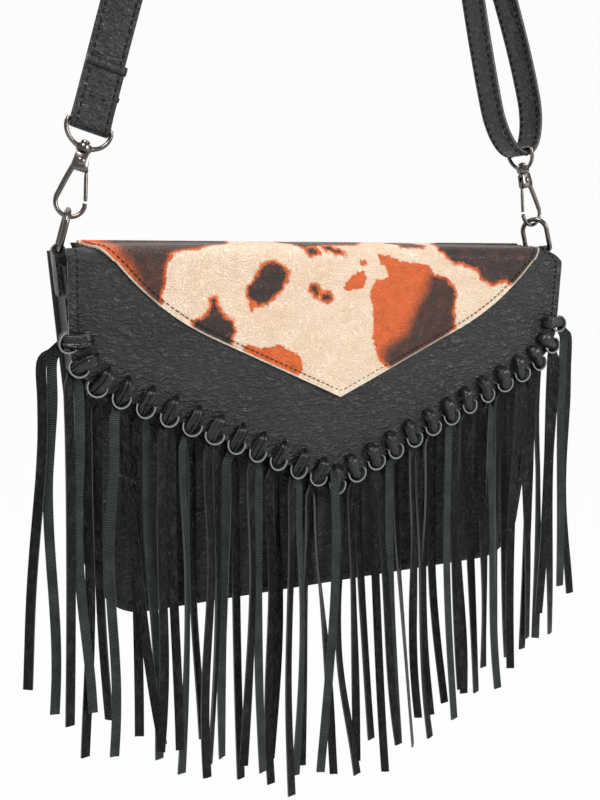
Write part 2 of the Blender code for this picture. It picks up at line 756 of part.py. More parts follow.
def right_path():
    """Down the right side in the clasp's own frame, as (height above the eye's bar, outward offset)."""
    total = strap_straight - eye_bar_at
    bar = slider_wire / 2
    ply = strap_thickness / 2
    under = -(bar + gap + ply)
    over = bar + gap + strap_thickness + gap + ply
    top, middle, low = (slider_distance + slider_half_length, slider_distance, slider_distance - slider_half_length)
    path = [(total - (total - top) * k / 6, under * eased((k - 3) / 3)) for k in range(7)]
    for start, end, first, last in ((top, middle, under, over), (middle, low, over, under)):
        path += [(start + (end - start) * k / 8, first + (last - first) * eased(k / 8)) for k in range(1, 9)]
    wrap = eye_wire / 2 + gap + ply
    steps = 12
    foot = wrap
    radius = loop_half_width
    belly = radius * 2.0
    for k in range(1, steps + 1):
        height = low + (belly - low) * k / steps
        path.append((height, under + (radius - under) * eased(k / steps)))
    turn = 14
    for k in range(1, turn):
        angle = pi * k / turn
        path.append((belly - (belly + foot) * sin(angle), radius * cos(angle)))
    second = under - strap_thickness - gap
    for k in range(steps + 1):
        height = belly + (low - belly) * k / steps
        path.append((height, -radius + (second + radius) * eased(k / steps)))
    rise = middle - low
    path += [(low + rise * k / 4, second + (under - second) * eased(k / 4)) for k in range(1, 4)]
    path += [(middle + -under * sin(pi * k / 6), under * cos(pi * k / 6)) for k in range(7)]
    return path


def make_strap():
    """One long strap: stitched to the left clasp, over the top, through the slider, round the right
    clasp's bar and back up to the slider's middle bar."""
    frame = on_line("right", eye_bar_at)
    right = [(frame @ Vector((out, 0, height)), Vector((0, -1, 0))) for height, out in right_path()]
    stations = [(place, width * strap_width / 2) for place, width in left_stations() + bend_stations() + right]
    return finish(as_mesh(ribbon("strap", stations, strap_thickness)), "black_leather")


def make_slider():
    """The three-bar slider that sets the strap's length."""
    half_wide = strap_width / 2 + slider_wire / 2 + 2 * gap
    frame = on_line("right", eye_bar_at + slider_distance, pi / 2)
    corner = slider_wire
    points = rounded_box((-half_wide, -slider_half_length), (half_wide, slider_half_length), corner)
    rim = wire("strap_slider", points, slider_wire, frame, closed=True)
    bar = wire("bar", [(-half_wide, 0), (half_wide, 0)], slider_wire * 0.96, frame)
    return finish(join(rim, [bar]), "gunmetal")


for old in list(bpy.data.objects):
    bpy.data.objects.remove(old)
bag = new_collection("fringed_bag")
workshop = new_collection("workshop")
bag_holder = new_holder("bag_frame", bag_frame)
hinge_place = Matrix.Translation((0, flap_front, -hinge_drop))
flap_holder = new_holder("flap_hinge", bag_frame @ hinge_place, bag_holder)
hook_holders = {}
gate_holders = {}
for side in ("left", "right"):
    head_place = on_line(side, head_top_at, hook_turn[side])
    hook_holders[side] = new_holder(f"{side}_swivel", head_place)
    pin_place = head_place @ Matrix.Translation((0, 0, -pin_drop))
    gate_holders[side] = new_holder(f"{side}_gate_hinge", pin_place, hook_holders[side])

panel("back_panel", body_back - panel_thickness / 2, back_top_drop)
panel("front_panel", body_front + panel_thickness / 2, mouth_drop)
make_gusset()
make_lining()
flap_ply("flap_backing", flap_back, backing_thickness, "lining_cloth", flap_outline(), slot_loops())
flap_ply("flap_band", band_back, band_thickness, "black_leather", flap_outline(), slot_loops())
flap_ply("print_panel", print_back, print_thickness, "cow_print", print_outline(), [])
make_flap_top()
make_snap()
for number, (distance, pair) in enumerate(zip(knot_distances(), sways), start=1):
    make_strip(number, distance, pair)
for side in ("left", "right"):
    make_ring(side)
    make_tab(side)
    make_eye(side)
    make_hook(side)
    make_gate(side)
    make_pin(side)
make_strap()
make_slider()
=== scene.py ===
# Slim flap bag with a cow-hide print and a knotted fringe, hanging from its strap
import random
from math import acos, asin, atan2, cos, hypot, pi, radians, sin, sqrt

import bmesh
import bpy
from mathutils import Matrix, Vector, noise


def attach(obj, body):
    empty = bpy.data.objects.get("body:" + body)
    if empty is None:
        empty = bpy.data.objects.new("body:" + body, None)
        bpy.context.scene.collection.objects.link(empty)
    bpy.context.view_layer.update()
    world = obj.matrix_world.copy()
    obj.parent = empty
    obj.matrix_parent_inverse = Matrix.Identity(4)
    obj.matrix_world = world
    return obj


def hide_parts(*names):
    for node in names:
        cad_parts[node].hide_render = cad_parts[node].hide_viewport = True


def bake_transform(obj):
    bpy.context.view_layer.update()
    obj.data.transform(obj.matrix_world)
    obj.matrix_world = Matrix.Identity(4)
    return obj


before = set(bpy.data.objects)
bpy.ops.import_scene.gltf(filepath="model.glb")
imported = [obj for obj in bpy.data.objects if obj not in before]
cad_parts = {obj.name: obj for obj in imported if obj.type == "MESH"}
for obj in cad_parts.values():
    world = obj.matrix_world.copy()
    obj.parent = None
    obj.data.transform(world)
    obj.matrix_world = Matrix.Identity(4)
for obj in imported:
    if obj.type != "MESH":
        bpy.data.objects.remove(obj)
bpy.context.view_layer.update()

# Sizes that several pieces share, in metres, the same as the solids'
bag = dict(
    strapDrop=0.430, lean=radians(4.0), gap=0.0003,
    halfWidth=0.1465, footHalfWidth=0.129, height=0.190, depth=0.032, panel=0.0015,
    corner=0.026, mouthDrop=0.026, backTopDrop=0.006,
    gussetInset=0.0015, gusset=0.0014, gussetTopDrop=0.012,
)
bagFrame = Matrix.Translation((0, 0, -bag["strapDrop"])) @ Matrix.Rotation(bag["lean"], 4, "X")


class Wire:
    # One output of a material's nodes, so that masks are written as sums
    def __init__(self, paint, socket):
        self.paint = paint
        self.socket = socket

    def __add__(self, other):
        return self.paint.sums("ADD", self, other)

    __radd__ = __add__

    def __sub__(self, other):
        return self.paint.sums("SUBTRACT", self, other)

    def __rsub__(self, other):
        return self.paint.sums("SUBTRACT", other, self)

    def __mul__(self, other):
        return self.paint.sums("MULTIPLY", self, other)

    __rmul__ = __mul__


class Paint:
    # A new material and the few calls that fill its nodes
    def __init__(self, name, roughness=0.5, metallic=0.0, **fixed):
        self.material = bpy.data.materials.new(name)
        self.material.use_nodes = True
        self.nodes = self.material.node_tree.nodes
        self.links = self.material.node_tree.links
        self.shader = self.nodes["Principled BSDF"]
        self.put("Roughness", roughness)
        self.put("Metallic", metallic)
        for socket, value in fixed.items():
            self.put(socket.replace("_", " "), value)

    def node(self, kind, settings=None, sockets=None, output=0):
        made = self.nodes.new(kind)
        for key, value in (settings or {}).items():
            setattr(made, key, value)
        for key, value in (sockets or {}).items():
            self.plug(made.inputs[key], value)
        return Wire(self, made.outputs[output])

    def plug(self, socket, value):
        if isinstance(value, Wire):
            self.links.new(value.socket, socket)
        else:
            socket.default_value = value

    def put(self, socket, value):
        self.plug(self.shader.inputs[socket], value)

    def sums(self, operation, *terms):
        return self.node("ShaderNodeMath", {"operation": operation}, dict(enumerate(terms)))

    def clamp(self, value):
        return self.node("ShaderNodeClamp", {}, {"Value": value})

    def step(self, value, low, high):
        # 0 below low, 1 above high, smooth between
        settings = {"interpolation_type": "SMOOTHSTEP"}
        return self.node("ShaderNodeMapRange", settings, {"Value": value, "From Min": low, "From Max": high})

    def blend(self, share, first, second):
        first, second = [v if isinstance(v, Wire) else (*v, 1) for v in (first, second)]
        return self.node("ShaderNodeMix", {"data_type": "RGBA"}, {0: share, 6: first, 7: second}, 2)

    def place(self, stored=None, scale=(1, 1, 1), turn=0.0):
        # Where the pattern is read: the piece's own space, or a place stored on the mesh
        if stored:
            source = self.node("ShaderNodeAttribute", {"attribute_name": stored}, {}, "Vector")
        else:
            source = self.node("ShaderNodeTexCoord", {}, {}, "Object")
        return self.node("ShaderNodeMapping", {},
                         {"Vector": source, "Scale": scale, "Rotation": (0, 0, turn)})

    def stored(self, name):
        return self.node("ShaderNodeAttribute", {"attribute_name": name}, {}, "Fac")

    def axis(self, where, number):
        return self.node("ShaderNodeSeparateXYZ", {}, {0: where}, number)

    def noise(self, where, scale, detail=3.0, roughness=0.5):
        sockets = {"Vector": where, "Scale": scale, "Detail": detail, "Roughness": roughness}
        return self.node("ShaderNodeTexNoise", {}, sockets)

    def cells(self, where, scale, feature="F1", randomness=1.0):
        sockets = {"Vector": where, "Scale": scale, "Randomness": randomness}
        return self.node("ShaderNodeTexVoronoi", {"feature": feature}, sockets)

    def bump(self, height, distance, strength=1.0):
        self.put("Normal",
                 self.node("ShaderNodeBump", {},
                           {"Height": height, "Distance": distance, "Strength": strength}))


leatherLook = dict(
    low=(0.0006, 0.0007, 0.0010), high=(0.0200, 0.0208, 0.0225),
    grain=640, wrinkles=150, drift=45, wander=190.0, bend=0.005, depth=0.00042, roughness=0.38, shine=0.34,
)


def blackLeather(name, stored=None, turn=0.6, gloss=0.0, wrinkled=1.0, stretch=(1.0, 0.60, 1.0),
                 look=leatherLook):
    paint = Paint(name, Specular_IOR_Level=look["shine"])
    where = paint.place(stored, scale=stretch, turn=turn)
    wander = paint.node("ShaderNodeTexNoise", {}, {"Vector": where, "Scale": look["wander"], "Detail": 2.0},
                        "Color")
    shift = paint.node("ShaderNodeVectorMath", {"operation": "SCALE"}, {0: wander, "Scale": look["bend"]})
    bent = paint.node("ShaderNodeVectorMath", {"operation": "ADD"}, {0: where, 1: shift})
    broad = paint.noise(bent, look["wrinkles"], 3, 0.6)
    wrinkle = paint.step(paint.sums("ABSOLUTE", broad - 0.5), 0.0, 0.20)
    small = paint.noise(bent, look["wrinkles"] * 2.2, 2, 0.5)
    crease = paint.step(paint.sums("ABSOLUTE", small - 0.5), 0.0, 0.17)
    pebbles = paint.step(paint.cells(bent, look["grain"], "DISTANCE_TO_EDGE"), 0.0, 0.25)
    drift = paint.noise(where, look["drift"], 3)
    height = wrinkle * wrinkled + crease * (0.45 * wrinkled) + pebbles * 0.12 + drift * 2.0
    # Creases are painted darker than the raised leather, painted shade standing in for the shading of the
    # relief, with random tone from the drift on top
    tone = paint.clamp(wrinkle * 0.55 + crease * 0.35 + (drift - 0.5) * 1.1)
    paint.put("Base Color", paint.blend(tone, look["low"], look["high"]))
    paint.put("Roughness", look["roughness"] - gloss + (1 - wrinkle) * 0.18 + (drift - 0.5) * 0.22)
    paint.bump(height, look["depth"])
    return paint.material


def edgeCoat(name, colour=(0.040, 0.042, 0.046), roughness=0.34):
    paint = Paint(name)
    where = paint.place()
    rub = paint.noise(where, 900, 3)
    paint.put("Base Color", paint.blend(rub, colour, [c * 1.9 for c in colour]))
    paint.put("Roughness", roughness + (rub - 0.5) * 0.3)
    paint.bump(rub, 0.0001)
    return paint.material


ribLook = dict(dark=(0.006, 0.008, 0.008), light=(0.060, 0.074, 0.070), ribsPerMetre=930, yarn=9000,
               depth=0.00028)


def ribbedBacking(name, look=ribLook):
    # The woven back of the artificial leather: fine ribs across each strip
    paint = Paint(name, roughness=0.85, Specular_IOR_Level=0.2)
    where = paint.place("flat")
    along = paint.axis(where, 1)
    across = paint.axis(where, 0)
    wander = paint.noise(where, 400, 2)
    ribs = paint.sums("SINE",
                      (along * look["ribsPerMetre"] + across * 160 + wander * 0.5) * (2 * pi)) * 0.5 + 0.5
    yarn = paint.sums("SINE", across * look["yarn"]) * 0.5 + 0.5
    worn = paint.noise(where, 90, 3)
    tone = paint.clamp(ribs * 0.75 + yarn * 0.12 + (worn - 0.5) * 0.9)
    paint.put("Base Color", paint.blend(tone, look["dark"], look["light"]))
    paint.bump(ribs * 0.8 + yarn * 0.2, look["depth"])
    return paint.material


printLook = dict(
    cream=(0.97, 0.760, 0.570), creamWarm=(0.94, 0.670, 0.465), rust=(0.78, 0.145, 0.028),
    rustDark=(0.42, 0.060, 0.014), brown=(0.034, 0.021, 0.018), brownWarm=(0.085, 0.034, 0.021),
    # The turned edge's colours, rimLight over cream and rimDark over the patches, are paler than the print
    # there: partly the cut edge's own cream, partly painted highlight on the rounded edge
    rimLight=(0.93, 0.80, 0.63), rimDark=(0.22, 0.115, 0.075), grain=900, depth=0.00044,
)


def cowPrint(name, look=printLook):
    paint = Paint(name, Specular_IOR_Level=0.5)
    where = paint.place("flat")
    rag = (paint.noise(where, 330, 4, 0.62) - 0.5) * 5.2 + (paint.noise(where, 1500, 2) - 0.5) * 1.1
    dark = paint.stored("darkPatch") + rag
    rust = paint.stored("rustPatch") + rag
    fade = paint.noise(where, 60, 3)
    cream = paint.blend(paint.step(fade, 0.35, 0.75), look["cream"], look["creamWarm"])
    rustTone = paint.blend(paint.step(paint.noise(where, 150, 4), 0.45, 0.85) * 0.6, look["rust"],
                           look["rustDark"])
    brownTone = paint.blend(paint.step(paint.noise(where, 140, 3), 0.4, 0.75), look["brown"],
                            look["brownWarm"])
    halo = paint.blend(paint.step(dark, -2.6, -0.7), cream, rustTone)
    ground = paint.blend(paint.step(rust, -0.5, 0.5), halo, rustTone)
    sprayed = (paint.noise(where, 900, 2) - 0.5) * 5.0 + rag * 0.4
    soft = paint.step(paint.stored("softDark") + sprayed, -5.5, 5.0)
    darkMask = paint.sums("MAXIMUM", paint.step(dark, -0.8, 0.9), soft * paint.step(rust, 0.5, 2.4) * 0.97)
    patched = paint.blend(darkMask, ground, brownTone)
    # Within about a millimetre of the cut the turned edge is paler than the print: partly the cut edge's own
    # cream, partly painted highlight where light catches the rounded edge, most of all over the dark patches
    rim = paint.step(paint.stored("rim"), 0.0004, 0.0013)
    rimEdgeAndHighlight = paint.blend(paint.clamp(darkMask * 0.40 + paint.step(rust, -0.5, 0.5) * 0.25), look["rimLight"],
                          look["rimDark"])
    paint.put("Base Color", paint.blend(rim, rimEdgeAndHighlight, patched))
    pebbles = paint.step(paint.cells(where, look["grain"], "DISTANCE_TO_EDGE"), 0.0, 0.22)
    puckers = paint.noise(where, 90, 3)
    paint.put("Roughness", 0.46 - pebbles * 0.10 + (puckers - 0.5) * 0.15)
    paint.bump(pebbles + puckers * 0.8, look["depth"])
    return paint.material


def threadPaint(name, colour):
    paint = Paint(name, roughness=0.8, Specular_IOR_Level=0.2)
    where = paint.place()
    ply = paint.noise(where, 3500, 2)
    paint.put("Base Color", paint.blend(ply, colour, [min(1, c * 1.8) for c in colour]))
    paint.bump(ply, 0.00008)
    return paint.material


def gunmetal(name, colour=(0.135, 0.120, 0.110), roughness=0.17):
    paint = Paint(name, metallic=1.0)
    where = paint.place()
    haze = paint.noise(where, 160, 3)
    scuff = paint.noise(where, 1900, 3, 0.6)
    paint.put("Base Color", paint.blend(haze, colour, [c * 1.55 for c in colour]))
    paint.put("Roughness", roughness + (haze - 0.5) * 0.16 + (scuff - 0.5) * 0.10)
    paint.bump(scuff, 0.00002)
    return paint.material


def liningCloth(name, colour=(0.018, 0.018, 0.020)):
    paint = Paint(name, roughness=0.8)
    where = paint.place()
    x = paint.axis(where, 0)
    z = paint.axis(where, 2)
    weave = paint.sums("SINE", x * 9000) * paint.sums("SINE", z * 9000) * 0.5 + 0.5
    paint.put("Base Color", paint.blend(weave, colour, [c * 2.2 for c in colour]))
    paint.bump(weave, 0.00012)
    return paint.material


finishes = {
    "flapLeather": blackLeather("flapLeather", "flat", turn=0.3, gloss=0.06, wrinkled=0.85,
                                stretch=(0.50, 0.95, 1.0),
                                look=dict(leatherLook, wrinkles=230, depth=0.00056, shine=0.50)),
    # The tails' leather has a darker top colour than the flap's: painted shade for the tails hanging in the
    # flap's shadow
    "stripLeather": blackLeather("stripLeather", "flat", turn=0.5, gloss=0.04,
                                 look=dict(leatherLook, high=(0.0150, 0.0156, 0.0165), depth=0.00060,
                                           shine=0.18)),
    "knotLeather": blackLeather("knotLeather", "flat", turn=0.2, gloss=0.14, wrinkled=0.80,
                                look=dict(leatherLook, high=(0.0140, 0.0145, 0.0155), shine=0.50)),
    "strapLeather": blackLeather("strapLeather", "flat", turn=0.9, gloss=0.10, wrinkled=0.75,
                                 stretch=(0.5, 1.0, 1.0),
                                 look=dict(leatherLook, wrinkles=240, depth=0.00055, shine=0.50)),
    "rawEdge": edgeCoat("rawEdge", (0.045, 0.048, 0.049), 0.5),
    "bightEdge": edgeCoat("bightEdge", (0.13, 0.135, 0.138), 0.45),
    "edge": edgeCoat("edgeCoat"),
    "backing": ribbedBacking("ribbedBacking"),
    "print": cowPrint("cowHidePrint"),
    "blackThread": threadPaint("blackThread", (0.006, 0.006, 0.007)),
    "brownThread": threadPaint("brownThread", (0.010, 0.007, 0.006)),
    "metal": gunmetal("polishedGunmetal"),
    "steel": gunmetal("snapSteel", (0.36, 0.35, 0.34), 0.3),
    "lining": liningCloth("liningCloth"),
}
print("finishes mixed:", len(finishes))


def meshPiece(name, shape, paints, smooth=40, closed=True):
    if closed:
        bmesh.ops.recalc_face_normals(shape, faces=shape.faces)
    mesh = bpy.data.meshes.new(name)
    shape.to_mesh(mesh)
    shape.free()
    for paint in paints:
        mesh.materials.append(finishes[paint])
    mesh.shade_smooth()
    mesh.set_sharp_from_angle(angle=radians(smooth))
    piece = bpy.data.objects.new(name, mesh)
    bpy.context.scene.collection.objects.link(piece)
    return piece


def applied(piece):
    # Makes the piece's modifiers real
    bpy.context.view_layer.update()
    graph = bpy.context.evaluated_depsgraph_get()
    mesh = bpy.data.meshes.new_from_object(piece.evaluated_get(graph))
    piece.modifiers.clear()
    old = piece.data
    piece.data = mesh
    bpy.data.meshes.remove(old)


def thicken(piece, thickness):
    # Gives a sheet its thickness behind the face, with its rim and back in the next two finishes
    wall = piece.modifiers.new("Thickness", "SOLIDIFY")
    wall.thickness = thickness
    wall.offset = -1
    wall.material_offset_rim = 1
    wall.material_offset = 2


def wearEdges(piece, width, angle=radians(50)):
    # Rounds the sheet's edges a little
    soften = piece.modifiers.new("Worn edges", "BEVEL")
    soften.width = width
    soften.segments = 2
    soften.limit_method = "ANGLE"
    soften.angle_limit = angle
    applied(piece)


def sweep(shape, stations, outline, indices, capIndex=None, flatFrom=0.0):
    # Carries an outline of (across, out) points along (centre, across, out, distance) stations, and each side
    # of the outline has a material index
    layer = shape.verts.layers.float_vector.get("flat") or shape.verts.layers.float_vector.new("flat")
    rings = []
    for centre, across, out, distance in stations:
        ring = []
        for a, b in outline:
            vert = shape.verts.new(centre + across * a + out * b)
            vert[layer] = (a, distance + flatFrom, b)
            ring.append(vert)
        rings.append(ring)
    count = len(outline)
    for first, second in zip(rings, rings[1:]):
        for k in range(count):
            face = shape.faces.new((first[k], first[(k + 1) % count], second[(k + 1) % count], second[k]))
            face.material_index = indices[k]
    for ring in (rings[0], rings[-1]):
        face = shape.faces.new(ring)
        face.material_index = indices[0] if capIndex is None else capIndex
    return shape


def frames(points, acrossAt, flatFrom=0.0):
    # Stations along a line of points, with the strip's own across direction at each
    stations = []
    distance = flatFrom
    for k, point in enumerate(points):
        ahead = points[min(k + 1, len(points) - 1)] - points[max(k - 1, 0)]
        if k:
            distance += (point - points[k - 1]).length
        along = ahead.normalized()
        across = acrossAt(k)
        across = (across - along * across.dot(along)).normalized()
        stations.append((point, across, across.cross(along).normalized(), distance))
    return stations


def smoothLine(points, between):
    # A Catmull-Rom line through the points
    line = []
    for k in range(len(points) - 1):
        p0, p1, p2, p3 = points[max(k - 1, 0)], points[k], points[k + 1], points[min(k + 2, len(points) - 1)]
        for j in range(between):
            t = j / between
            line.append(0.5 * ((2 * p1) + (p2 - p0) * t + (2 * p0 - 5 * p1 + 4 * p2 - p3) * t * t
                               + (3 * p1 - p0 - 3 * p2 + p3) * t ** 3))
    return line + [points[-1].copy()]


def eased(share):
    share = max(0.0, min(1.0, share))
    return share * share * (3 - 2 * share)


def arc(centre, radius, start, end, steps):
    return [
        Vector((centre[0] + radius * cos(start + (end - start) * k / steps),
                centre[1] + radius * sin(start + (end - start) * k / steps)))
        for k in range(steps + 1)
    ]


def onBag(point):
    return bagFrame @ Vector(point)


bagTurn = bagFrame.to_3x3()


def skin(shape, rings, closed=False):
    # Faces between rings of the same count, which end in caps unless the rings close
    count = len(rings[0])
    for a, b in zip(rings, rings[1:] + (rings[:1] if closed else [])):
        for j in range(count):
            shape.faces.new((a[j], a[(j + 1) % count], b[(j + 1) % count], b[j]))
    if not closed:
        shape.faces.new(rings[0])
        shape.faces.new(rings[-1])


def spun(side, out, turn):
    # Two directions of a strip, turned about its length
    return side * cos(turn) + out * sin(turn), out * cos(turn) - side * sin(turn)


def stitches(name, runs, thread, pitch=0.0032, length=0.0023, thick=0.00065):
    # Short raised stitches along runs of (place, out direction) points
    shape = bmesh.new()
    for run in runs:
        distances = [0.0]
        for (a, _), (b, _) in zip(run, run[1:]):
            distances.append(distances[-1] + (b - a).length)

        def at(distance):
            k = 0
            while k < len(distances) - 2 and distances[k + 1] < distance:
                k += 1
            share = (distance - distances[k]) / max(distances[k + 1] - distances[k], 1e-9)
            return run[k][0].lerp(run[k + 1][0], share), run[k][1].lerp(run[k + 1][1], share).normalized()

        count = max(1, int(distances[-1] / pitch))
        for k in range(count):
            middle = distances[-1] * (k + 0.5) / count
            start, out = at(middle - length / 2)
            end, _ = at(middle + length / 2)
            along = (end - start).normalized()
            side = along.cross(out).normalized()
            profile = ((0.0, 0.15), (0.16, 0.85), (0.5, 1.0), (0.84, 0.85), (1.0, 0.15))
            rings = []
            for share, size in profile:
                lift = out * (thick * 0.35 * sin(pi * share))
                centre = start.lerp(end, share) + lift
                rings.append([shape.verts.new(centre + (side * cos(a) + out * sin(a)) * thick * 0.5 * size)
                              for a in (0.5, 1.57, 2.64, 3.93, 5.5)])
            skin(shape, rings)
    return meshPiece(name, shape, [thread])


flap = dict(
    halfWidth=0.1435, tipDrop=0.1295, slope=radians(25.0), corner=0.030, radius=0.008,
    back=-0.0196, bandFront=-0.0219, printFront=-0.0232, topHalfWidth=0.1340, tuck=0.016,
    printTip=0.0805, printStraight=0.080, printRadius=0.140, printHalf=0.1325, seam=0.0030,
    edgeWear=0.00035, sideSeam=0.0042, tipRise=0.466, seamSteps=160,
    narrowing=((-0.0100, -0.0175), (0.0030, -0.0150)),
)
topRun = bag["depth"] / 2 - bag["panel"] - bag["gap"] - flap["radius"] - (flap["printFront"] + flap["radius"])
quarter = flap["radius"] * pi / 2


def sheetPoint(x, s, lift):
    # The flap laid flat: s runs down the front from the fold, and is negative over the top and down the back
    radius = flap["radius"]
    front = flap["printFront"]
    sag = 0.0012 * sin(pi * x / 0.30) ** 2 * eased((0.012 - s) / 0.02) * (1 if s > -0.08 else 0)
    if s >= 0:
        return Vector((x, front + lift, -radius - s)), Vector((0, -1, 0))
    if s > -quarter:
        turn = -s / radius
        out = Vector((0, -cos(turn), sin(turn)))
        return Vector((x, front + radius, -radius - sag)) + out * (radius - lift), out
    if s > -quarter - topRun:
        return Vector((x, front + radius - s - quarter, -lift - sag)), Vector((0, 0, 1))
    turn = min((-s - quarter - topRun) / radius, pi / 2)
    out = Vector((0, sin(turn), cos(turn)))
    centre = Vector((x, front + radius + topRun, -radius))
    below = max(0.0, -s - quarter - topRun - quarter)
    return centre + out * (radius - lift) + Vector((0, 0, -below)), out


def edgeLine():
    tangent = flap["corner"] * sin((pi / 2 - flap["slope"]) / 2) / cos((pi / 2 - flap["slope"]) / 2)
    straight = flap["halfWidth"] / cos(flap["slope"]) - tangent
    cornerZ = -flap["tipDrop"] + flap["halfWidth"] * sin(flap["slope"]) / cos(flap["slope"])
    return straight, (flap["halfWidth"] - flap["corner"], cornerZ + tangent), pi / 2 - flap["slope"]


def edgePoint(distance):
    # A point of the flap's lower edge this far right of the tip, and the way in from it
    side = -1 if distance < 0 else 1
    straight, centre, turn = edgeLine()
    along = abs(distance)
    if along <= straight:
        place = Vector((along * cos(flap["slope"]), -flap["tipDrop"] + along * sin(flap["slope"])))
        angle = flap["slope"] - pi / 2
    else:
        angle = min(flap["slope"] - pi / 2 + (along - straight) / flap["corner"], 0)
        place = Vector(centre) + flap["corner"] * Vector((cos(angle), sin(angle)))
        place.y += max(along - straight - turn * flap["corner"], 0)
    if abs(distance) < 1e-9:
        return place, Vector((0, 1))
    return Vector((side * place.x, place.y)), Vector((-side * cos(angle), -sin(angle)))


knots = dict(aSide=13, pitch=0.0132, inset=0.0095)
edgeLength = edgeLine()[0] + edgeLine()[2] * flap["corner"]


def scallop(distance):
    # The knots pull the edge in, and it stands out between them
    share = (distance / knots["pitch"]) % 1.0
    return 0.0006 * cos(2 * pi * share) if abs(distance) < edgeLength - 0.004 else 0.0


def bandHalf(s, side):
    # Half the band's width: it narrows over the top to pass the rings, with a rounder corner on the right
    start, end = flap["narrowing"][side > 0]
    return flap["halfWidth"] + (flap["topHalfWidth"] - flap["halfWidth"]) * eased((start - s) / (start - end))


def rimDistance(place, line, near):
    # How far a place on the flat sheet is from its lower edge
    nearest = 1.0
    for a, b in zip(line[max(0, near - 14):near + 14], line[max(0, near - 14) + 1:near + 15]):
        along = b - a
        share = max(0.0, min(1.0, (place - a).dot(along) / max(along.length_squared, 1e-12)))
        nearest = min(nearest, (place - a - along * share).length)
    return nearest


def flapGrid(name, lift, rows, lowerEdge, halfAt, columns, thickness, paints):
    shape = bmesh.new()
    flat = shape.verts.layers.float_vector.new("flat")
    rim = shape.verts.layers.float.new("rim")
    feet = []
    for k in range(columns + 1):
        foot = lowerEdge(-1 + 2 * k / columns)
        feet.append(Vector((foot.x, -flap["radius"] - foot.y)))
    grid = []
    for j in range(rows + 1):
        line = []
        for k, foot in enumerate(feet):
            u = -1 + 2 * k / columns
            share = j / rows
            s = -wholeBack + (foot.y + wholeBack) * share
            reach = halfAt(s, u)
            lean = share ** 1.6
            x = u * reach * (1 - lean) + foot.x * lean
            x = max(-reach, min(reach, x))
            place, out = sheetPoint(x, s, lift)
            wave = noise.noise(Vector((x * 22, s * 22, lift * 900))) * 0.0007 * eased((s + 0.01) / 0.05)
            vert = shape.verts.new(bagFrame @ (place + out * (wave - 0.0002)))
            vert[flat] = (x, s, lift)
            vert[rim] = min(rimDistance(Vector((x, s)), feet, k), reach - abs(x) if s < feet[0].y else 1.0)
            line.append(vert)
        grid.append(line)
    for first, second in zip(grid, grid[1:]):
        for k in range(columns):
            shape.faces.new((first[k], second[k], second[k + 1], first[k + 1]))
    piece = meshPiece(name, shape, paints, smooth=50, closed=False)
    thicken(piece, thickness)
    return piece


def bandFoot(u):
    distance = u * edgeLength
    place, inward = edgePoint(distance)
    return place + inward * scallop(distance)


def printFoot(u):
    straight = flap["printStraight"]
    radius = flap["printRadius"]
    start = Vector((straight * cos(flap["slope"]), -flap["printTip"] + straight * sin(flap["slope"])))
    centre = start + radius * Vector((-sin(flap["slope"]), cos(flap["slope"])))
    first = flap["slope"] - pi / 2
    last = -acos((flap["printHalf"] - centre.x) / radius)
    distance = abs(u) * (straight + (last - first) * radius)
    if distance <= straight:
        place = Vector((distance * cos(flap["slope"]), -flap["printTip"] + distance * sin(flap["slope"])))
    else:
        angle = first + (distance - straight) / radius
        place = centre + radius * Vector((cos(angle), sin(angle)))
    return Vector((-place.x if u < 0 else place.x, place.y))


def printHalf(s, side):
    return flap["printHalf"]


wholeBack = quarter + topRun + quarter + flap["tuck"]
band = flapGrid("flapBand", flap["bandFront"] - flap["printFront"], 92, bandFoot, bandHalf, 216, 0.0021,
                ["flapLeather", "edge", "lining"])

